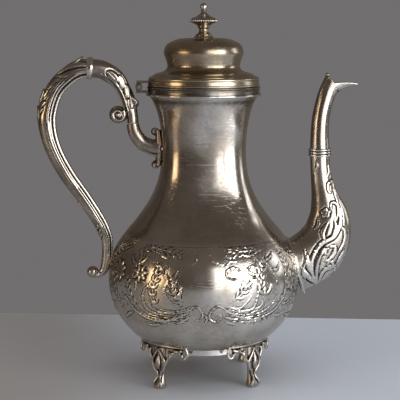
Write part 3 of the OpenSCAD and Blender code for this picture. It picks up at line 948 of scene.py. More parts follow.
@dataclass
class Vessel:
    """The raised body: a round belly with chased scrolls, and a neck that is soft and square."""

    wall: float = 1.1
    seam_z: float = 101.0
    top_z: float = 197.6
    square: float = 3.1
    outline: Knots = (
        (30, 26.6), (37, 27), (43, 28.6), (47.7, 31.6), (52, 35.8), (56.5, 41), (61, 48.2), (64.5, 57.6),
        (66.1, 68), (65.5, 79.5), (61.9, 91), (54.6, 102), (44.6, 114), (36.1, 127), (30.9, 140.5),
        (28.8, 155), (29, 169), (31, 182), (34.3, 192), (37.8, 197.6),
    )
    line: np.ndarray = field(init=False)

    def __post_init__(self) -> None:
        """Works out the outline as a fine line of radius, height and distance along it."""
        line = smooth_line(self.outline, 10)
        self.line = np.column_stack([line, arc_lengths(line, 2)])

    def radius(self, z: np.ndarray | float) -> np.ndarray | float:
        """Radius of the body at a height."""
        return np.interp(z, self.line[:, 1], self.line[:, 0])

    def squareness(self, z: np.ndarray) -> np.ndarray:
        """Power of the superellipse that the body's section is at a height."""
        rise = ease((z - self.seam_z) / 38)
        return 2 + (self.square - 2) * rise * (1 - ease((z - self.top_z + 26) / 24))

    def on_board(self, points: np.ndarray) -> np.ndarray:
        """Degrees and height turned into millimetres over the belly."""
        along = np.interp(points[:, 1], self.line[:, 1], self.line[:, 2])
        return np.column_stack([points[:, 0] * BellyOrnament.per_degree, along])

    def band(self, low: float, high: float, step: float, count: int,
             ornament: ReliefMap | None = None) -> Shell:
        """A stretch of the wall with its inner face.

        Args:
            low, high: the heights that it runs between.
            step: spacing of its rings.
            count: points in each ring.
            ornament: relief worked on its outer face.

        Returns:
            The closed shell.
        """
        ends = np.interp([low, high], self.line[:, 1], self.line[:, 2])
        along = np.linspace(*ends, round((ends[1] - ends[0]) / step) + 1)
        r = np.interp(along, self.line[:, 2], self.line[:, 0])[:, None]
        z = np.interp(along, self.line[:, 2], self.line[:, 1])[:, None]
        q = np.arange(count) * 2 * math.pi / count
        shape = superellipse(q, self.squareness(z))
        height = np.zeros((len(along), count))
        if ornament:
            front = np.degrees(np.arctan2(np.cos(q), -np.sin(q)))
            folded = np.where(np.abs(front) > 90, np.sign(front) * 180 - front, front)
            height = ornament.read(folded * BellyOrnament.per_degree + 0 * z, along[:, None] + 0 * q)
        outer = np.stack([(r * shape + height) * np.cos(q), (r * shape + height) * np.sin(q), z + 0 * q], -1)
        few = np.linspace(len(along) - 1, 0, 24).round().astype(int)
        inside = r[few] * shape[few] - self.wall
        inner = np.stack([inside * np.cos(q), inside * np.sin(q), z[few] + 0 * q], -1)
        relief = np.vstack([height, np.zeros((len(few), count))])
        return Shell.grid(np.concatenate([outer, inner]), relief, loop=True)

    def build(self) -> None:
        """Makes the chased belly and the plain neck."""
        ornament = BellyOrnament(self).board()
        belly = self.band(self.outline[0][1], self.seam_z, 0.65, 570, ornament)
        Piece("belly", [belly]).finished(CHASED_SILVER, Slot.SILVER, POT, "belly_shell")
        neck = self.band(self.seam_z, self.top_z, 0.9, 320)
        Piece("neck", [neck]).finished(BODY_SILVER, Slot.SILVER, POT, "neck_shell")


@dataclass
class BellyOrnament:
    """The chased scrolls, sprays and flowers round the belly, the same before and behind.

    Points are degrees from the front, towards the spout, and height.
    """

    vessel: Vessel
    fine: float = 0.56
    per_degree: float = math.pi * 64 / 180

    def _side(self) -> list[Stroke]:
        """The big C scroll, its sprays and the bud, on the spout's side of the middle.

        Returns:
            The strokes.
        """
        leaf, ribbon, line = Cut.LEAF, Cut.RIBBON, Cut.LINE
        return [
            Stroke(((10, 60), (18, 55.5), (27, 53), (38, 54.5), (47, 60), (52, 69), (54, 82), (56, 95)),
                   3.2, 0.7, ribbon),
            Stroke(((11, 61.5), (20, 59), (27, 62), (30, 74)), 2.2, 0.55),
            Stroke(((10, 63.5), (18, 62), (25, 69)), 2.0, 0.5),
            Stroke(((13, 58.5), (24, 57), (31, 61), (33, 67)), 1.6, 0.45),
            Stroke(((19, 56.5), (33, 57.5), (41, 62.5), (46, 69)), 2.0, 0.5),
            Stroke(((34, 69), (30.5, 72.5), (30, 77)), 3.4, 0.7, leaf),
            Stroke(((34, 69), (34.5, 74), (34, 79)), 3.4, 0.7, leaf),
            Stroke(((34, 69), (38, 72), (39, 77)), 3.4, 0.7, leaf),
            Stroke(((34, 79), (31, 85), (30, 95)), 1.4, 0.45),
            Stroke(((17, 92.5), (12, 92), (10, 88.5), (13, 85.5), (17, 88)), 1.8, 0.5, ribbon),
            Stroke(((21, 89), (25, 84.5), (30, 83), (31, 87)), 1.6, 0.45),
            Stroke(((11, 96.5), (14, 98.5), (18, 96.5), (14.5, 94.5)), 1.5, 0.5, closed=True),
            Stroke(((8, 99), (15, 100), (22, 98.5), (36, 98.5)), 1.8, 0.5, leaf),
            Stroke(((20, 97), (26, 95), (33, 97)), 2.8, 0.5, leaf),
            Stroke(((0, 98), (2, 93.5), (11, 89.5)), 1.6, 0.5),
            Stroke(((36, 92), (40, 84), (44, 77), (43.5, 70)), 1.6, 0.5),
            Stroke(((36, 92), (41, 92), (46, 95.5)), 3.2, 0.6, leaf),
            Stroke(((40, 85), (45, 84), (49, 88)), 3.0, 0.6, leaf),
            Stroke(((11, 60), (5, 64), (1, 61), (0, 56), (4, 53), (7, 56.5), (4, 59)), 2.0, 0.6),
            Stroke(((8, 57), (11, 55.5), (16, 54)), 2.8, 0.5, leaf),
            Stroke(((9, 53), (13, 51.5), (18, 50)), 2.6, 0.5, leaf),
            Stroke(((22, 50.5), (33, 49), (44, 52), (52, 58)), 1.2, 0.4),
            Stroke(((44, 53), (50, 52), (56, 55)), 3.0, 0.55, leaf),
            Stroke(((50, 60), (57, 60), (62, 65)), 3.0, 0.55, leaf),
            Stroke(((-1, 101), (20, 101), (45, 101)), 0.7, 0.35, line),
        ] + flower(22, 77, 3.6, 6, 15, 0.5) + flower(60, 74, 6.4, 8, 0, 0.7) + [
            Stroke(((56, 95), (62, 92), (66, 86), (64, 80)), 1.8, 0.5),
            Stroke(((60, 90), (66, 93), (73, 91)), 3.6, 0.6, leaf),
            Stroke(((66, 84), (73, 84), (78, 88)), 3.6, 0.6, leaf),
            Stroke(((66, 72), (73, 74), (80, 71)), 3.4, 0.6, leaf),
            Stroke(((62, 65), (70, 63), (77, 66)), 3.4, 0.6, leaf),
            Stroke(((52, 58), (62, 58), (72, 56), (84, 60)), 1.4, 0.45),
            Stroke(((56, 52), (64, 49), (73, 50)), 3.4, 0.55, leaf),
            scroll(80, 79, 6, 1.2, 90, 1.5),
        ]

    def _other_side(self) -> list[Stroke]:
        """The tendril, the daisy and the lily, on the handle's side of the middle.

        Returns:
            The strokes.
        """
        leaf, ribbon, line = Cut.LEAF, Cut.RIBBON, Cut.LINE
        return [
            Stroke(((-13, 59), (-21, 54.5), (-30, 52), (-40, 53), (-49, 58), (-55, 64)), 3.0, 0.7, ribbon),
            Stroke(((-12, 62), (-22, 59.5), (-29, 58), (-33, 61), (-36, 72)), 2.0, 0.5),
            Stroke(((-38, 58), (-41, 66), (-40, 72), (-37, 75.5), (-36, 70)), 2.0, 0.5),
            Stroke(((-36, 76), (-33, 83), (-31, 89), (-28, 87)), 1.5, 0.45),
            Stroke(((-15, 64), (-22, 66), (-26, 73), (-24, 80)), 1.8, 0.5),
            Stroke(((-24, 80), (-20, 83), (-18, 88)), 3.4, 0.6, leaf),
            Stroke(((-24, 80), (-26, 85), (-25, 91)), 3.2, 0.6, leaf),
            Stroke(((-22, 68), (-17, 72), (-16, 78)), 3.0, 0.55, leaf),
            Stroke(((-45, 80), (-46.5, 76), (-46, 69)), 1.6, 0.45),
            Stroke(((-47, 88), (-52, 90), (-55, 95)), 3.4, 0.6, leaf),
            Stroke(((-47, 88), (-46, 93), (-48, 98)), 3.4, 0.6, leaf),
            Stroke(((-47, 88), (-42, 92), (-40, 97)), 3.2, 0.6, leaf),
            Stroke(((-47, 61), (-54, 59), (-60, 62), (-65, 61)), 1.5, 0.45),
            Stroke(((-52, 60), (-56, 65), (-61, 68)), 3.4, 0.6, leaf),
            Stroke(((-50, 56), (-56, 53), (-62, 49)), 3.4, 0.55, leaf),
            Stroke(((-30, 50), (-38, 48), (-46, 50)), 3.0, 0.5, leaf),
            Stroke(((-17, 98), (-27, 98.5), (-38, 97.5)), 1.8, 0.5, leaf),
            Stroke(((-22, 96), (-28, 94.5), (-34, 97)), 2.8, 0.5, leaf),
            Stroke(((-10, 98), (-8, 93), (-14, 89.5)), 1.6, 0.5),
            Stroke(((-13, 60), (-8, 64), (-5, 61), (-4, 57), (-7, 54), (-10, 57)), 1.9, 0.55),
            Stroke(((-11, 57), (-15, 54), (-20, 51)), 2.8, 0.5, leaf),
            Stroke(((-3, 101), (-22, 101), (-45, 101)), 0.7, 0.35, line),
            Stroke(((-70, 92), (-64, 96), (-56, 99)), 3.6, 0.6, leaf),
            Stroke(((-68, 60), (-76, 58), (-84, 62)), 1.5, 0.45),
            Stroke(((-72, 58), (-77, 53), (-84, 52)), 3.4, 0.55, leaf),
            Stroke(((-60, 72), (-57, 66), (-60, 60)), 1.5, 0.45),
        ] + flower(-44, 83, 5.8, 7, 10, 0.7) + flower(-64, 82, 7.0, 8, 22, 0.7) + [
            scroll(-81, 77, 6, -1.2, 90, 1.5),
            Stroke(((-3, 58.5), (-1.5, 55), (-3, 51.5)), 2.6, 0.6, leaf),
        ]

    def _ribs(self) -> list[Stroke]:
        """Fine ribs that fan up to both sides from the bottom of the front, and two ovals.

        Returns:
            The strokes.
        """
        strokes = []
        for s in (-1, 1):
            for i in range(6):
                fan = ((s * (9 + i), 64 - 2.3 * i), (s * (20 + 2 * i), 60 - 1.7 * i),
                       (s * (31 + 3 * i), 61.5 - 1.3 * i), (s * (36 + 4.5 * i), 70 - 0.6 * i))
                strokes.append(Stroke(fan, 1.7, 0.5))
        stems = (
            ((46, 60), (54, 71), (56, 84), (53, 96)), ((38, 97), (26, 98), (13, 97)),
            ((34, 70), (32, 78), (34, 88), (40, 94)), ((58, 56), (68, 66), (66, 80)),
            ((70, 60), (78, 70), (76, 86), (66, 96)), ((12, 66), (19, 72), (22, 80)),
            ((-44, 58), (-52, 68), (-54, 80)), ((-57, 55), (-68, 66), (-70, 78)),
            ((-52, 92), (-42, 99), (-28, 98), (-15, 96)), ((-72, 62), (-80, 74), (-78, 88), (-66, 97)),
            ((-30, 60), (-34, 72), (-31, 84), (-33, 93)), ((-14, 66), (-21, 74), (-20, 84)),
        )
        for stem in stems:
            strokes += spray(stem, 4.6, 4.8, 48)
        for x in (14, 27):
            oval = tuple((x + 4.4 * math.cos(q), 85 + 3.6 * math.sin(q)) for q in np.linspace(0, 5.6, 9))
            strokes.append(Stroke(oval, 1.7, 0.6, closed=True))
        return strokes

    def board(self) -> ReliefMap:
        """The whole ornament drawn on one board.

        Returns:
            The board.
        """
        reach = 92 * self.per_degree
        low, high = np.interp([40, 105], self.vessel.line[:, 1], self.vessel.line[:, 2])
        board = ReliefMap((-reach, low), (reach, high))
        for s in self._side() + self._other_side() + self._ribs():
            finer = Stroke(s.points, s.width * self.fine, s.height * 0.9, s.cut, s.closed)
            board.draw(finer, self.vessel.on_board)
        return board


# ---------------------------------------------------------------- foot, rim and lid


@dataclass
class Feet:
    """Four cast feet: a leaf on an apron with scrolled wings, an ankle and a rolled toe."""

    radius: float = 45.5
    top_z: float = 30.5
    angle: float = 45.0
    wing: float = 21.0
    apron_z: float = 24.0
    names: Sequence[str] = ("front_right", "front_left", "rear_left", "rear_right")

    def _bar(self, knots: Knots, thick: float = 1.0) -> Shell:
        """A round wire laid on the foot's face; knots are sideways, outwards, height and radius.

        Args:
            knots: the wire's middle line and radius.
            thick: its depth as a share of its width.

        Returns:
            The wire.
        """
        line = smooth_line(knots, 6)
        path = np.column_stack([line[:, 0], -(self.radius + line[:, 1]), line[:, 2]])
        return Shell.tube(path, line[:, 3], line[:, 3] * thick, (0.02, 1, 0.03), 16)

    def _slab(self, knots: Knots, back: float) -> Shell:
        """A plate between two edges; knots are height, left, right, face and thickness shares.

        Args:
            knots: the plate's rows, from top to bottom.
            back: its thickness.

        Returns:
            The plate.
        """
        rows = smooth_line(knots, 5)
        q = np.arange(40) * 2 * math.pi / 40
        squash = np.sign(np.cos(q)) * np.abs(np.cos(q)) ** 0.75
        face = np.sign(np.sin(q)) * np.abs(np.sin(q)) ** 0.75
        middle, half = (rows[:, 1] + rows[:, 2]) / 2, (rows[:, 2] - rows[:, 1]) / 2
        x = middle[:, None] + half[:, None] * squash
        y = rows[:, 3][:, None] - back / 2 * rows[:, 4][:, None] * (1 - face)
        z = rows[:, 0][:, None] + 0 * q
        return Shell.grid(np.stack([x, -(self.radius + y), z], -1))

    def _wrap(self, points: np.ndarray) -> np.ndarray:
        """Bends flat work round the body, so that sideways distance follows the apron's circle."""
        q = points[:, 0] / self.radius
        return np.column_stack([-points[:, 1] * np.sin(q), points[:, 1] * np.cos(q), points[:, 2]])

    def foot(self) -> list[Shell]:
        """One foot at the front, built flat and bent round the body.

        Returns:
            The foot's shells.
        """
        w, top, low = self.wing, self.top_z, self.apron_z
        leg = [
            (top, -5.6, 5.6, 0.2, 1), (26, -5.4, 5.4, 0.5, 1), (21.5, -5.6, 5.6, 0.6, 1),
            (17.5, -5.2, 5.2, 0.3, 1), (14, -3.8, 3.8, -0.4, 1), (11, -2.7, 2.7, -0.9, 1),
            (8.5, -2.6, 2.6, -0.6, 1.1), (5.5, -3.3, 3.3, 0.9, 1.5), (2.5, -3.9, 3.9, 2.2, 2.1),
            (0.6, -3.8, 3.8, 2.2, 2.1), (0.02, -2.8, 2.8, 1.6, 1.8),
        ]
        shells = [self._slab(leg, 3.4)]
        for s in (-1, 1):
            brace = [
                (top, *sorted((s * 2, s * 13)), -0.6, 1), (low + 2.4, *sorted((s * 2, s * 11)), -0.6, 1),
                (low - 2, *sorted((s * 2, s * 7.8)), -0.5, 1), (low - 6, *sorted((s * 1, s * 5.6)), -0.4, 1),
            ]
            rail = [
                (top, *sorted((s * 10, s * w)), -0.8, 1),
                (low + 4, *sorted((s * 10, s * (w + 0.4))), -0.8, 1),
                (low + 1.6, *sorted((s * 10.5, s * (w + 0.2))), -0.8, 1),
            ]
            shells += [self._slab(brace, 2.0), self._slab(rail, 2.0)]
            shells += [
                self._bar([(s * w, 0, top - 0.6, 0.8), (s * (w + 1), 0, low + 2, 1),
                           (s * (w - 0.6), 0, low - 1, 1.1),
                           (s * (w - 2.8), 0, low - 0.4, 1), (s * (w - 3), 0.2, low + 1.6, 0.9)]),
                self._bar([(s * (w - 4), 0, low + 1.6, 0.7), (s * 12.5, 0, low + 2.4, 0.7),
                           (s * 9.4, 0.2, low, 0.8), (s * 6.6, 0.3, 19, 0.8), (s * 5, 0.2, 15, 0.7)]),
                self._bar([(s * 0.2, 0.7, 27.6, 0.5), (s * 2.6, 0.9, 24, 0.8), (s * 5.4, 0.9, 19.4, 0.9),
                           (s * 4.8, 0.6, 14.6, 0.9), (s * 2.2, 0.1, 11.6, 0.9), (s * 1.2, -0.4, 8.6, 0.8)]),
                self._bar([(s * 8.4, -0.2, 26.8, 0.5), (s * 9.6, 0, 24.2, 1.3), (s * 8.2, 0, 21.4, 0.6)]),
                self._bar([(s * 3.2, 1.6, 1.6, 1), (s * 3, 2, 4.2, 0.9), (s * 1.6, 1.2, 6.4, 0.8),
                           (s * 0.9, 0.2, 8.6, 0.7)]),
                self._bar([(s * (w - 3), -0.1, 28.2, 0.8), (s * (w - 6), 0.2, 27.2, 1.1),
                           (s * 12, 0, 28, 0.6)]),
            ]
        shells += [
            self._bar([(0, 0.5, 24.6, 0.4), (0, 1.3, 20.6, 1.6), (0, 1.3, 17.2, 2.1),
                       (0, 0.5, 13.6, 0.8)], 0.7),
            self._bar([(-w, -0.1, top - 0.2, 0.8), (-w / 2, 0.1, top - 0.2, 0.9), (0, 0.2, top - 0.2, 0.9),
                       (w / 2, 0.1, top - 0.2, 0.9), (w, -0.1, top - 0.2, 0.8)]),
        ]
        return [s.mapped(self._wrap) for s in shells]

    def build(self) -> None:
        """Makes the four feet."""
        shells = self.foot()
        turns = (self.angle, -self.angle, self.angle + 180, -self.angle + 180)
        for name, turn in zip(self.names, turns):
            placed = [s.turned(turn) for s in shells]
            piece = Piece(name + "_leg", placed, melt=0.34)
            piece.finished(CAST_SILVER, Slot.DARK, POT, name + "_foot")


@dataclass
class Rim:
    """The mouth's collar with its wire."""

    low: float = 197.6
    high: float = 203.2
    radius: float = 39.1
    bore: float = 36.7

    def build(self) -> None:
        """Makes the collar as a turned ring with three reeds."""
        r, h = self.radius, self.high - self.low
        outer = [
            (r - 1.4, 0), (r - 0.9, 0.1), (r - 0.8, 0.8), (r - 0.8, 2.4), (r - 0.9, 2.6), (r - 0.8, 2.8),
            (r - 0.7, 4.0), (r - 0.5, 4.4), (r - 0.1, 4.8), (r - 0.2, 5.2), (r - 0.8, h),
        ]
        inner = [(self.bore, h), (self.bore, h / 2), (self.bore, 0)]
        outline = np.vstack([evenly(smooth_line(outer, 5), 0.22, 2), np.array(inner)]) + [0, self.low]
        # The collar's darker silver is painted shade under the lid's rim.
        Piece("collar", [Shell.revolve(outline, 288, loop=True)]).finished(
            SHADE_PAINTED_SILVER, Slot.DARK, POT, "mouth_collar")
        wire = Shell.revolve(self._round(r - 0.15, self.low + 0.1, 0.75), 288, loop=True)
        Piece("rim_wire", [wire]).finished(BRIGHT_SILVER, Slot.BRIGHT, POT, "collar_wire")

    @staticmethod
    def _round(r: float, z: float, size: float) -> np.ndarray:
        """A round section."""
        q = np.arange(20) * 2 * math.pi / 20
        return np.column_stack([r + size * np.cos(q), z + size * np.sin(q)])


@dataclass
class Lid:
    """The domed lid and the turned finial on it."""

    rim_low: float = 203.55
    rim_r: float = 38.4
    wall: float = 1.2

    def cap(self) -> Shell:
        """The lid's sheet: a moulded rim, a waist and a cushion dome.

        Returns:
            The closed sheet.
        """
        r, z = self.rim_r, self.rim_low
        outer = smooth_line([
            (r - 0.4, z), (r, z + 0.3), (r, z + 0.9), (r - 0.3, z + 1.2), (r - 0.4, z + 2.4),
            (r - 0.5, z + 3.6), (r - 0.7, z + 4.0), (r - 0.5, z + 4.6), (r - 0.6, z + 5.3),
            (r - 1.3, z + 6.0), (r - 2.6, z + 6.5), (r - 4, z + 7.4), (r - 6, z + 8.5), (r - 9.6, z + 9.5),
            (r - 12.2, z + 10.8), (24.8, z + 13.5), (25.7, z + 17.5), (27.2, z + 22), (26.7, z + 25.4),
            (25.2, z + 28), (22.4, z + 29.9), (17.3, z + 31.8), (12, z + 32.4), (7.5, z + 32.6),
            (3, z + 32.7), (0.05, z + 32.7),
        ], 6)
        inner = [(0.05, z + 31.4), (12, z + 31.1), (21.5, z + 28.6), (25.6, z + 22), (24, z + 17),
                 (23.4, z + 13.6), (26, z + 9), (r - 4.6, z + 6), (r - 4.6, z + 1), (r - 4.6, z)]
        return Shell.revolve(np.vstack([evenly(outer, 0.3, 2), smooth_line(inner, 4)]), 288, loop=True)

    def finial(self) -> tuple[list[Shell], list[Shell], list[Shell]]:
        """The baluster, the beaded disc and the spire with its ball.

        Returns:
            The shells of each of the three.
        """
        z = self.rim_low + 32.6
        foot = smooth_line([(0.05, z), (6.2, z), (6.5, z + 0.6), (6, z + 1.2), (5.4, z + 1.4), (5.6, z + 1.9),
                            (5, z + 2.5), (3.7, z + 3.6), (3.1, z + 5.2), (3.5, z + 6.4), (4.4, z + 7),
                            (3.9, z + 7.6), (4.4, z + 8.2), (6.4, z + 9.4), (8, z + 10.3),
                            (0.05, z + 10.4)], 5)
        z += 10.4
        disc = smooth_line([(0.05, z), (8.4, z), (8.9, z + 0.4), (8.9, z + 1.6), (8.4, z + 2), (6.6, z + 2.2),
                            (0.05, z + 2.2)], 4)
        beads = [Shell.ball((9.0 * math.cos(q), 9.0 * math.sin(q), z + 1), 0.78, 1.15, 12)
                 for q in np.arange(38) * 2 * math.pi / 38]
        z += 2
        spire = smooth_line([(0.05, z), (7.6, z), (8, z + 0.5), (7.4, z + 1.1), (5.8, z + 1.5),
                             (4.4, z + 2.4),
                             (2.9, z + 3.4), (1.9, z + 4.6), (1.6, z + 5.6), (2.2, z + 6.1), (1.6, z + 6.5),
                             (0.05, z + 6.6)], 5)
        knob = Shell.ball((0, 0, z + 8.45), 2.5, 1.02, 40)
        return [Shell.revolve(foot, 96)], [Shell.revolve(disc, 128), *beads], [Shell.revolve(spire, 96), knob]

    def build(self) -> None:
        """Makes the lid's cap and the finial's three turned pieces."""
        Piece("lid_dome", [self.cap()]).finished(WARM_SILVER, Slot.WARM, LID, "lid_cap")
        foot, disc, spire = self.finial()
        Piece("finial_foot", foot).finished(WARM_SILVER, Slot.WARM, LID, "finial_baluster")
        Piece("beaded_disc", disc).finished(CAST_SILVER, Slot.WARM, LID, "finial_disc")
        Piece("finial_top", spire).finished(CAST_SILVER, Slot.WARM, LID, "finial_spire")


# ---------------------------------------------------------------- spout


@dataclass
class Spout:
    """The swan-neck spout: a chased lower part, three rings and a plain end with an open lip.

    Rows of the line are distance from the axis, height, half size in the upright plane and half
    width.
    """

    vessel: Vessel
    wall: float = 1.0
    tip_x: float = 106.6
    ring_z: float = 157.5
    slant: tuple[float, float] = (-0.55, 0.83)
    knots: Knots = (
        (63.1, 78.2, 18.8, 13.4), (70.9, 81.4, 18.9, 13.2), (80.4, 88.5, 19, 12.5), (86.6, 100.4, 17.1, 11.2),
        (87.5, 113.1, 14, 9.6), (85, 125, 10, 8.3), (82.9, 134.5, 7.9, 7.3), (81.3, 146.4, 6.9, 6.9),
        (80.8, 157.5, 6.8, 6.8), (80.5, 170, 6.3, 6.3), (81.1, 181, 6.1, 6.05), (82.9, 190.5, 6, 5.6),
        (85.6, 199.1, 6.4, 5.2), (88.6, 205.3, 7.5, 4.8),
    )

    def _ornament(self) -> ReliefMap:
        """Leaf scrolls on the spout's cheeks, drawn from the side: distance and height.

        Returns:
            The board.
        """
        leaf, ribbon = Cut.LEAF, Cut.RIBBON
        strokes = [
            Stroke(((79, 65), (74.5, 76), (75, 86), (81, 95), (90, 100), (94.5, 110), (93, 121), (88, 123),
                    (87.5, 118)), 3.0, 0.8, ribbon),
            Stroke(((79, 66), (78, 76), (80, 86), (87, 93)), 2.0, 0.6),
            Stroke(((80, 66), (83, 75), (90, 79), (92, 74)), 2.4, 0.7, ribbon),
            Stroke(((84, 82), (89, 86), (91, 92), (87, 93)), 2.6, 0.7, ribbon),
            Stroke(((93, 122), (91, 130), (90, 137), (86, 136), (86, 131), (89, 130)), 2.2, 0.6, ribbon),
            Stroke(((93, 108), (98, 103), (97.5, 95), (93, 88)), 2.4, 0.7, ribbon),
            Stroke(((78, 66), (72, 72), (67, 79)), 3.4, 0.7, leaf),
            Stroke(((76, 72), (72, 80), (71, 88)), 3.4, 0.7, leaf),
            Stroke(((70, 70), (68, 76), (70, 84), (69, 92)), 1.6, 0.5),
            Stroke(((83, 97), (82, 103), (86, 110)), 3.0, 0.6, leaf),
            Stroke(((88, 100), (91, 106), (90, 112)), 2.6, 0.6, leaf),
            Stroke(((86, 70), (92, 71), (96, 78)), 3.2, 0.6, leaf),
            Stroke(((92, 79), (95, 84), (98, 90)), 2.8, 0.6, leaf),
            Stroke(((92, 124), (93, 118), (92, 112)), 2.4, 0.6, leaf),
            Stroke(((80, 88), (83, 91), (84, 86)), 2.6, 0.6, leaf),
            Stroke(((76, 104), (79, 108), (79, 114)), 2.2, 0.5, leaf),
            Stroke(((84, 140), (87, 144), (86, 149)), 1.8, 0.4, leaf),
            Stroke(((77, 144), (78, 149), (77, 153)), 1.6, 0.35, leaf),
        ] + flower(84, 116, 3.2, 5, 20, 0.6) + [scroll(87, 80, 4, 1.3, 200, 1.6, 0.6)]
        board = ReliefMap((60, 58), (106, 160))
        for stroke in strokes:
            board.draw(stroke)
        return board

    def _ring(self, row: np.ndarray, d: np.ndarray, inset: float, count: int) -> np.ndarray:
        """Points round one place on the line, from the back of the spout round to the back again.

        Args:
            row: the place and its radii.
            d: the direction square to the line, seen from the side.
            inset: how far inside the wall's face.
            count: points in the ring.

        Returns:
            The points.
        """
        q = np.arange(count) * 2 * math.pi / count
        a, b = row[2] - inset, row[3] - inset
        points = np.column_stack([
            row[0] + d[0] * a * np.cos(q), -b * np.sin(q), row[1] + d[1] * a * np.cos(q)
        ])
        shell = self.vessel.radius(points[:, 2]) + 0.05
        inside = np.hypot(points[:, 0], points[:, 1]) < shell
        out = np.sqrt(np.maximum(shell**2 - points[:, 1] ** 2, 0))
        points[:, 0] = np.where(inside, out, points[:, 0])
        return points

    def _rings(self, line: np.ndarray, inset: float, count: int, slanted: bool) -> np.ndarray:
        """Rings along a stretch of the line, the last ones turned to the slanted mouth.

        Args:
            line: the stretch.
            inset: how far inside the wall's face.
            count: points in each ring.
            slanted: whether it ends at the mouth.

        Returns:
            The rings.
        """
        ahead = units(np.gradient(line[:, :2], axis=0))
        across = np.column_stack([-ahead[:, 1], ahead[:, 0]])
        if slanted:
            left = arc_lengths(line, 2)[-1] - arc_lengths(line, 2)
            share = ease(1 - left / 14)[:, None]
            across = units(across * (1 - share) + np.array(self.slant) * share)
        return np.array([self._ring(row, d, inset, count) for row, d in zip(line, across)])

    def _stretch(self, low: float, high: float, step: float) -> np.ndarray:
        """The line's rows between two heights.

        Args:
            low, high: the two heights.
            step: the spacing of the rows.

        Returns:
            The rows.
        """
        line = smooth_line(self.knots, 12)
        keep = line[(line[:, 1] >= low - 0.01) & (line[:, 1] <= high + 0.01)]
        return evenly(keep, step, 2)

    def _lower(self) -> Shell:
        """The chased part, up to the rings.

        Returns:
            The closed shell.
        """
        line = self._stretch(0, self.ring_z, 0.65)
        outer = self._rings(line, 0, 160, False)
        board = self._ornament()
        cheek = ease(np.abs(np.sin(np.arange(160) * 2 * math.pi / 160)) / 0.3)
        height = board.read(outer[..., 0], outer[..., 2]) * cheek
        middle = outer.mean(1, keepdims=True)
        outer = outer + units(outer - middle) * height[..., None]
        inner = self._rings(line, self.wall, 160, False)[:: -6]
        relief = np.vstack([height, np.zeros(inner.shape[:2])])
        return Shell.grid(np.concatenate([outer, inner]), relief, loop=True)

    def _lip(self, mouth: np.ndarray, inset: float, share: float) -> np.ndarray:
        """The mouth's ring drawn out towards the tip: its back stays and its front moves most.

        Args:
            mouth: the mouth's ring.
            inset: how far inside the wall's face.
            share: how far out towards the tip.

        Returns:
            The new ring.
        """
        q = np.arange(len(mouth)) * 2 * math.pi / len(mouth)
        front, centre = mouth[len(mouth) // 2], self.knots[-1]
        pull = share * np.maximum(0, -np.cos(q)) ** 1.4
        reach = self.tip_x - 0.5 * inset - front[0]
        rise = centre[1] - 1.2 - front[2] + 0.5 * inset
        return np.column_stack([
            mouth[:, 0] + reach * pull, mouth[:, 1] * (1 - 0.72 * pull),
            mouth[:, 2] + rise * (1 - (1 - pull) ** 1.8),
        ])

    def _upper(self) -> list[Shell]:
        """The plain end with its lip, a rolled edge and a small curl at the back.

        Returns:
            Its shells.
        """
        line = self._stretch(self.ring_z, 300, 0.8)
        skins = []
        for inset in (0, self.wall):
            rings = self._rings(line, inset, 96, True)
            lips = [self._lip(rings[-1], inset, t) for t in np.linspace(0.07, 1, 14)]
            skins.append(np.concatenate([rings, lips]))
        edge = (skins[0][-1] + skins[1][-1]) / 2
        roll = Shell.tube(edge, 0.62, 0.62, (0.3, 0.1, 1), 12, loop=True)
        back = edge[0]
        sideways = np.column_stack([np.full(9, back[0] + 0.5), np.linspace(-2.6, 2.6, 9),
                                    back[2] + 0.1 - 0.05 * np.linspace(-2.6, 2.6, 9) ** 2])
        swell = np.array([0.4, 0.9, 1.1, 1.2, 1.2, 1.2, 1.1, 0.9, 0.4])
        curl = Shell.tube(sideways, swell, 1.0, (1, 0, 0), 16)
        return [Shell.grid(np.concatenate([skins[0], skins[1][::-1]]), loop=True), roll, curl]

    def _seat_bead(self) -> list[Shell]:
        """The soldered bead round the spout's root, with a finer wire outside it.

        Returns:
            The bead and the wire.
        """
        beads = []
        ahead = units(np.gradient(smooth_line(self.knots, 12)[:, :2], axis=0))[0]
        for outset, size in ((0.6, 1.15), (2.5, 0.6)):
            ring = self._ring(np.array(self.knots[0], float), np.array([-ahead[1], ahead[0]]), -outset, 120)
            ring = ring[ring[:, 0] < 90]
            beads.append(Shell.tube(ring, size, size, (1, 0, 0.25), 14, loop=True))
        return beads

    def build(self) -> None:
        """Makes the spout's four pieces."""
        Piece("spout_body", [self._lower()]).finished(CHASED_SILVER, Slot.SILVER, POT, "spout_lower")
        Piece("spout_end", self._upper()).finished(BODY_SILVER, Slot.SILVER, POT, "spout_upper")
        Piece("spout_bead", self._seat_bead()).finished(BRIGHT_SILVER, Slot.BRIGHT, POT, "spout_root_flange")
        q = np.linspace(-90, 90, 9) * math.pi / 180
        reeds = np.vstack([
            np.column_stack([7.0 + 1.0 * np.cos(q), h + 0.92 * np.sin(q)]) for h in (-1.9, 0, 1.9)
        ])
        outline = np.vstack([[(6.9, -2.8)], reeds, [(6.9, 2.8)]])
        x = self.knots[8][0]
        rings = Shell.revolve(outline, 96, loop=True).moved((x, 0, self.ring_z))
        Piece("spout_rings", [rings]).finished(BRIGHT_SILVER, Slot.BRIGHT, POT, "spout_triple_ring")


# ---------------------------------------------------------------- handle


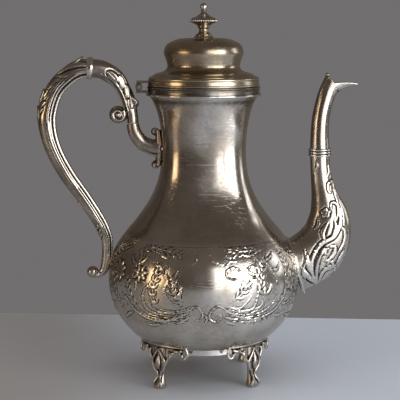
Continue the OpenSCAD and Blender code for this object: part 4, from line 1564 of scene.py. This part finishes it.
@dataclass
class Handle:
    """The cast C scroll handle: a grooved grip with leaves, a ring, an arm with a snail scroll
    and the bracket that carries it from the neck.

    Rows of the lines are distance out from the axis, height and radius.
    """

    grip: Knots = (
        (78.9, 75.9, 3), (76.8, 74.5, 3.7), (74.9, 73.6, 3.1), (72.6, 73.4, 2.5), (70, 75.2, 2.8),
        (68.6, 78.6, 3.2), (67.6, 83.5, 3.5), (66.9, 90, 3.7), (67.2, 98, 4), (70.4, 106.5, 4.4),
        (75.8, 116, 4.7), (84, 128.6, 5), (93.4, 142, 5.3), (101, 156, 5.5), (105.3, 168, 5.8),
        (107, 180.5, 6.3), (105, 191.8, 6.3), (100.4, 202, 6.1), (92.7, 210, 6.4), (85.2, 214.6, 6.6),
        (77.5, 215.7, 6.3),
    )
    arm: Knots = (
        (77.5, 215.7, 6.3), (70.2, 215, 6.2), (63.4, 211.5, 6.2), (58.9, 207.6, 5.9), (55.7, 202.5, 5.1),
        (53.2, 197.5, 5), (51.3, 192, 5), (49.6, 185, 4.4), (48.8, 178, 4.2),
    )
    bracket: Knots = (
        (48.8, 178, 4.2), (47.2, 171.5, 4.6), (42.5, 165, 5), (36.5, 161.8, 5.6), (32.6, 161, 6),
        (30.4, 161, 6.2),
    )
    per_degree: float = 5.6 * math.pi / 180

    @staticmethod
    def _path(knots: Knots, step: float) -> tuple[np.ndarray, np.ndarray]:
        """The middle line and the radius at each of its points."""
        line = evenly(smooth_line(knots, 10), step, 2)
        return np.column_stack([-line[:, 0], 0 * line[:, 0], line[:, 1]]), line[:, 2]

    def _unrolled(self, points: np.ndarray) -> np.ndarray:
        """Degrees round the grip and distance along it, turned into millimetres."""
        return points * [self.per_degree, 1]

    def _reader(self, strokes: Sequence[Stroke], length: float, edge: float
                ) -> Callable[[np.ndarray, np.ndarray], np.ndarray]:
        """A relief over distance and angle: strokes on both flanks and a groove on the inside.

        Args:
            strokes: angle in degrees from the inside, and distance along the line.
            length: the line's length.
            edge: height of the bright edges beside the groove.

        Returns:
            A function that gives the height.
        """
        board = ReliefMap((-2, -4), (182 * self.per_degree, length + 4), 0.2)
        for stroke in strokes:
            board.draw(stroke, self._unrolled)

        def height(along: np.ndarray, angle: np.ndarray) -> np.ndarray:
            """Height of the worked surface.

            Args:
                along: distance along the line.
                angle: degrees from the inside.

            Returns:
                The height.
            """
            side = np.abs(angle)
            groove = (
                -0.9 * hump(side, 0, 17) + edge * hump(side, 33, 9) - 0.5 * edge * hump(side, 50, 8)
                + 0.35 * edge * hump(side, 64, 8)
            )
            fade = ease((along - 14) / 12)
            return groove * fade + board.read(side * self.per_degree, along)

        return height

    def _grip_leaves(self) -> list[Stroke]:
        """Acanthus sprays up the grip's outer half.

        Returns:
            The strokes.
        """
        strokes = []
        for base, size in ((34, 0.6), (128, 0.8), (144, 0.8)):
            strokes += [
                Stroke(((176, base), (150, base + 5 * size), (116, base + 7 * size)),
                       4.4 * size, 0.4, Cut.LEAF),
                Stroke(((168, base + 4), (140, base + 10 * size), (104, base + 14 * size)),
                       3.6 * size, 0.4, Cut.LEAF),
                Stroke(((178, base + 2), (160, base + 9), (128, base + 16 * size), (112, base + 20 * size)),
                       1.5, 0.4),
            ]
        strokes += [
            Stroke(((178, 134), (146, 142), (118, 156), (96, 160)), 2.0, 0.5, Cut.RIBBON),
            Stroke(((80, 24), (84, 60), (80, 100), (84, 140), (78, 178)), 1.5, 0.45),
            Stroke(((178, 150), (150, 160), (120, 172), (108, 182)), 3.4, 0.6, Cut.LEAF),
        ]
        return strokes

    @staticmethod
    def _vein(along: np.ndarray, angle: np.ndarray) -> np.ndarray:
        """The shallow vein down the middle of a leaf's two faces."""
        return 0 * along - 0.25 * hump(np.abs(np.abs(angle) - 90), 90, 16)

    def _blade(self, knots: Knots) -> Shell:
        """A tapered leaf.

        Args:
            knots: distance out, height, thickness and half width along the leaf.

        Returns:
            The leaf.
        """
        line = smooth_line(knots, 8)
        path = np.column_stack([-line[:, 0], 0 * line[:, 0], line[:, 1]])
        return Shell.tube(path, line[:, 2], line[:, 3], (0, 1, 0), 32, self._vein)

    def _thumb_leaf(self) -> list[Shell]:
        """The leaf that turns up before the ring, and the leaf tips on the grip's back.

        Returns:
            The leaves.
        """
        return [self._blade(knots) for knots in (
            ((101, 205.5, 1.4, 3), (94, 213.5, 1.6, 4.8), (88.5, 218.6, 1.3, 4.4),
             (84.4, 221.8, 1.0, 3), (81.6, 223.8, 0.5, 0.8)),
            ((111.4, 174, 0.8, 1.6), (112.4, 180, 1.2, 3), (112.4, 187, 1.2, 2.8), (113.2, 190.4, 0.7, 1)),
            ((111.6, 190, 0.8, 1.4), (111, 194.5, 1.2, 2.8), (109.2, 199.5, 1.1, 2.2),
             (108.8, 202, 0.6, 0.8)),
            ((76.6, 111, 0.6, 1.6), (80.6, 117.6, 1.3, 3), (83.4, 121, 1.3, 2.6), (87.4, 123.6, 0.6, 0.8)),
            ((72, 104, 0.6, 1.6), (74.8, 109.5, 1.2, 2.8), (78, 113.6, 1.1, 2.2), (81, 115, 0.6, 0.8)),
        )]

    def _snail(self, x: float, z: float, radius: float, turns: float, start: float, wire: float,
               half_w: float) -> list[Shell]:
        """A scroll that winds in to a boss.

        Args:
            x, z: its middle.
            radius: its outer radius.
            turns: how far it winds; a negative count winds the other way.
            start: the direction of its outer end, in degrees.
            wire: thickness of the strip at its outer end.
            half_w: half of its width across the pot.

        Returns:
            The strip, the boss and a thin web behind them.
        """
        t = np.linspace(0, 1, 60)
        q = math.radians(start) + 2 * math.pi * turns * t
        r = (radius - wire) * (1 - t) ** 0.8 + 0.15 * radius * t
        path = np.column_stack([x + r * np.cos(q), 0 * t, z + r * np.sin(q)])
        strip = Shell.tube(path, wire * (1 - 0.55 * t), half_w * (1 - 0.12 * t), (0, 1, 0), 28)
        boss = self._oval_boss((x, z), 0.34 * radius, half_w * 1.1)
        web = self._oval_boss((x, z), 0.86 * radius, half_w * 0.6)
        return [strip, boss, web]

    @staticmethod
    def _oval_boss(at: tuple[float, float], radius: float, half_w: float) -> Shell:
        """A round boss seen from the side, with its own width across the pot.

        Args:
            at: its middle, out from the axis and up.
            radius: how big it looks from the side.
            half_w: half of its width across the pot.

        Returns:
            The boss.
        """
        def widened(points: np.ndarray) -> np.ndarray:
            """The ball's points with their width changed."""
            return points * [1, half_w / radius, 1]

        return Shell.ball((0, 0, 0), radius).mapped(widened).moved((at[0], 0, at[1]))

    def _arm(self) -> list[Shell]:
        """The arm from the ring to the bracket, with lobes, a curled leaf and the snail scroll.

        Returns:
            Its shells.
        """
        path, radius = self._path(self.arm, 0.5)
        lobes = [
            Stroke(((96, 12), (92, 17), (84, 22)), 5.0, 1.0, Cut.LEAF),
            Stroke(((120, 20), (104, 25), (88, 27)), 4.4, 0.9, Cut.RIBBON),
            Stroke(((128, 27), (108, 32), (88, 34)), 4.6, 1.0, Cut.RIBBON),
            Stroke(((142, 31), (126, 37), (104, 42)), 4.0, 0.6, Cut.RIBBON),
            Stroke(((176, 22), (160, 34), (140, 44)), 2.2, 0.2),
            Stroke(((60, 8), (70, 24), (66, 44)), 1.6, 0.6),
        ]
        bar = Shell.tube(path, radius, radius, (0, 1, 0), 64, self._reader(lobes, 56, 0.7))
        leaf = smooth_line([(55.6, 207, 1.1, 4.6), (52.2, 201.5, 1.1, 4.6), (48.9, 196, 1.1, 4.2),
                            (46.2, 193.2, 1.1, 3.8)], 8)
        tip = Shell.tube(np.column_stack([-leaf[:, 0], 0 * leaf[:, 0], leaf[:, 1]]), leaf[:, 2], leaf[:, 3],
                         (0, 1, 0), 32)
        return [bar, tip, *self._snail(-58.8, 184.1, 7.0, -1.4, 40, 2.5, 4.6),
                *self._snail(-46.8, 191.4, 2.9, 1.1, 20, 1.5, 3.8)]

    def _pad(self, vessel: Vessel) -> list[Shell]:
        """The bracket's foot on the neck: a tapered pad with a scroll at each end and a bead.

        Args:
            vessel: the body that it sits on.

        Returns:
            Its shells.
        """
        z = np.linspace(149, 173.5, 24)
        out = vessel.radius(z) + 2.0
        path = np.column_stack([-out, 0 * z, z])
        swell = 1.9 + 1.1 * hump(z, 161, 8)
        pad = Shell.tube(path, swell, 4.2 + 1.2 * hump(z, 161, 7), (0, 1, 0), 32)
        beads = [Shell.ball((-27.9, s * 5.4, 161), 2.0) for s in (-1, 1)]
        return [pad, *beads, *self._snail(-33.6, 172.4, 3.2, 1.2, -60, 1.1, 3.8),
                *self._snail(-33.2, 149.6, 3.4, -1.2, 60, 1.2, 3.6)]

    def build(self, vessel: Vessel) -> None:
        """Makes the handle's five pieces.

        Args:
            vessel: the body that the handle is fixed to.
        """
        path, radius = self._path(self.grip, 0.7)
        worked = self._reader(self._grip_leaves(), 206, 0.65)
        bar = Shell.tube(path, radius, radius, (0, 1, 0), 72, worked)
        ball = Shell.ball((-77.2, 0, 74.7), 4.1)
        Piece("grip", [bar, ball, *self._thumb_leaf()]).finished(CAST_SILVER, Slot.DARK, POT, "handle_grip")
        Piece("arm", self._arm(), melt=0.36).finished(CAST_SILVER, Slot.DARK, POT, "handle_upper_arm")
        path, radius = self._path(self.bracket, 0.5)
        bar = Shell.tube(path, radius, radius * 0.96, (0, 1, 0), 64, self._reader([], 34, 0.9))
        Piece("bracket", [bar], melt=0.36).finished(CAST_SILVER, Slot.DARK, POT, "handle_bracket")
        Piece("bracket_pad", self._pad(vessel), melt=0.34).finished(
            CAST_SILVER, Slot.DARK, POT, "bracket_plate")
        r, h = 7.35, 1.95
        ring = smooth_line([(6.6, -h), (r - 0.3, -h), (r, -h + 0.4), (r + 0.2, 0), (r, h - 0.4), (r - 0.3, h),
                            (6.6, h)], 4)
        at, before = np.array(self.grip[-1]), np.array(self.grip[-2])
        q = math.atan2(at[1] - before[1], before[0] - at[0]) * 0.4
        tilt = np.array([[math.sin(q), 0, math.cos(q)], [0, 1, 0], [-math.cos(q), 0, math.sin(q)]])

        def tilted(points: np.ndarray) -> np.ndarray:
            """The ring's points, laid square to the handle."""
            return points @ tilt

        band = Shell.revolve(ring, 96, loop=True).mapped(tilted).moved((-at[0], 0, at[1]))
        Piece("grip_ring", [band]).finished(BRIGHT_SILVER, Slot.BRIGHT, POT, "handle_ferrule")


# ---------------------------------------------------------------- setting


@dataclass
class Setting:
    """Floor, light and camera."""

    eye: tuple[float, float, float] = (-46.2, -816.5, 239.5)
    turn: tuple[float, float, float] = (82.0, 0.0, -3.3)
    lens: float = 107.1

    def _camera(self) -> None:
        """The camera, at the height of a person seated at the table."""
        data = bpy.data.cameras.new("camera")
        data.lens, data.sensor_width = self.lens, 36
        data.clip_start = 0.01
        camera = bpy.data.objects.new("camera", data)
        camera.location = Vector(self.eye) * MM
        camera.rotation_euler = [math.radians(a) for a in self.turn]
        bpy.context.scene.collection.objects.link(camera)
        bpy.context.scene.camera = camera

    def _table(self) -> None:
        """A pale table top with a soft far edge; its colour is painted darker towards the left, as painted
        shade away from the window.
        """
        low, high, near, far = -900.0, 900.0, -1100.0, 178.0
        edge = [(near, -30), (near, 0), (far - 3, 0), (far - 0.9, -0.9), (far, -3), (far, -30)]
        rings = [[(x, y - 0.13 * x * (y > 0), z - 0.02) for y, z in edge] for x in np.linspace(low, high, 19)]
        shell = Shell.grid(np.array(rings, float))
        mesh = bpy.data.meshes.new("table_top")
        mesh.from_pydata((shell.points * MM).tolist(), [], shell.quads.tolist() + shell.tris.tolist())
        table = bpy.data.objects.new("table_top", mesh)
        bpy.context.scene.collection.objects.link(table)
        made = bpy.data.materials.new("pale_table")
        made.use_nodes = True
        g = Graph(made.node_tree)
        shader = made.node_tree.nodes["Principled BSDF"]
        placed = g.node("ShaderNodeTexCoord").outputs["Object"]
        cloud = g.noise(placed, 5.0, 3.0, 0.5)
        sides = g.node("ShaderNodeSeparateXYZ")
        g.feed(sides.inputs[0], placed)
        # Painted shade: the table's colour turns to a dark grey towards the left, away from the window.
        across = g.span(sides.outputs["X"], -0.13, 0.05, 0.0, 1.0)
        top = g.blend(cloud, (0.58, 0.63, 0.72, 1), (0.64, 0.69, 0.77, 1))
        g.feed(shader.inputs["Base Color"], g.blend(across, (0.35, 0.34, 0.34, 1), top))
        g.feed(shader.inputs["Roughness"], g.span(g.noise(placed, 60.0, 2.0, 0.5), 0.2, 0.8, 0.34, 0.42))
        mesh.materials.append(made)

    @staticmethod
    def _softbox(name: str, azimuth: float, rise: float, away: float, size: tuple[float, float],
                 watts: float, colour: tuple[float, float, float], seen: bool = True) -> None:
        """A soft rectangular light that faces the pot; azimuth is degrees right of the camera.

        Args:
            name: its name.
            azimuth, rise: where it stands, in degrees.
            away: its distance, in metres.
            size: its width and height, in metres.
            watts: its power.
            colour: its colour.
            seen: whether it shows in reflections.
        """
        data = bpy.data.lights.new(name, "AREA")
        data.shape = "RECTANGLE"
        data.size, data.size_y = size
        data.energy = watts
        data.color = colour
        lamp = bpy.data.objects.new(name, data)
        a, e = math.radians(azimuth), math.radians(rise)
        spot = Vector((math.sin(a) * math.cos(e), -math.cos(a) * math.cos(e), math.sin(e))) * away
        target = Vector((0, 0, 0.12))
        lamp.location = target + spot
        lamp.rotation_euler = spot.to_track_quat("Z", "Y").to_euler()
        lamp.visible_camera = False
        lamp.visible_glossy = seen
        bpy.context.scene.collection.objects.link(lamp)

    def _room(self) -> None:
        """A dim room: lighter on the window's side, a plain grey wall behind the pot."""
        world = bpy.data.worlds.new("room")
        bpy.context.scene.world = world
        world.use_nodes = True
        g = Graph(world.node_tree)
        world.node_tree.nodes.clear()
        way = g.node("ShaderNodeTexCoord").outputs["Generated"]
        parts = g.node("ShaderNodeSeparateXYZ")
        g.feed(parts.inputs[0], way)
        right = g.span(parts.outputs["X"], -0.9, 0.9, 0.0, 1.0)
        up = g.span(parts.outputs["Z"], -0.2, 0.9, 0.0, 1.0)
        walls = g.blend(right, (0.066, 0.050, 0.038, 1), (0.17, 0.155, 0.14, 1))
        room = g.blend(up, walls, (0.125, 0.105, 0.09, 1))
        lit = g.node("ShaderNodeBackground")
        g.feed(lit.inputs["Color"], room)
        wall = g.node("ShaderNodeBackground")
        wall.inputs["Color"].default_value = (0.165, 0.158, 0.158, 1)
        choose = g.node("ShaderNodeMixShader")
        g.feed(choose.inputs[0], g.node("ShaderNodeLightPath").outputs["Is Camera Ray"])
        g.feed(choose.inputs[1], lit.outputs[0])
        g.feed(choose.inputs[2], wall.outputs[0])
        g.feed(g.node("ShaderNodeOutputWorld").inputs["Surface"], choose.outputs[0])

    def build(self) -> None:
        """Sets the camera, the table and the light."""
        self._camera()
        self._table()
        self._room()
        self._softbox("window", 43, 12, 1.3, (0.80, 0.85), 9.5, (1.0, 0.98, 0.95))
        self._softbox("window_side", 16, 12, 1.3, (0.30, 0.85), 2.0, (1.0, 0.98, 0.96))
        self._softbox("far_window", 100, 14, 1.5, (0.4, 0.7), 1.6, (0.95, 0.97, 1.0))
        self._softbox("warm_wall", -62, 8, 1.4, (0.5, 0.5), 2.6, (1.0, 0.74, 0.46))
        self._softbox("ceiling_bounce", 0, 80, 1.5, (2.2, 2.2), 19, (0.93, 0.96, 1.0), seen=False)
        bpy.context.scene.view_settings.view_transform = "Standard"


def dress_packed_parts() -> None:
    """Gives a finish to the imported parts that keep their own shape."""
    BRIGHT_SILVER.dress("base_ring")
    INNER_SILVER.dress("bottom_plate", "lid_bezel")
    # The hinge leaves get the darker silver as painted shade.
    SHADE_PAINTED_SILVER.dress("hinge_body_leaf", "hinge_lid_leaf")
    CAST_SILVER.dress("hinge_pin")
    BRASS.dress("finial_washer", "finial_nut")


def main() -> None:
    """Builds the pot's pieces in order, then the setting."""
    logging.basicConfig(level=logging.INFO, format="%(name)s: %(message)s")
    vessel = Vessel()
    Setting().build()
    vessel.build()
    Rim().build()
    Feet().build()
    Spout(vessel).build()
    Handle().build(vessel)
    Lid().build()
    dress_packed_parts()


if __name__ == "__main__":
    main()
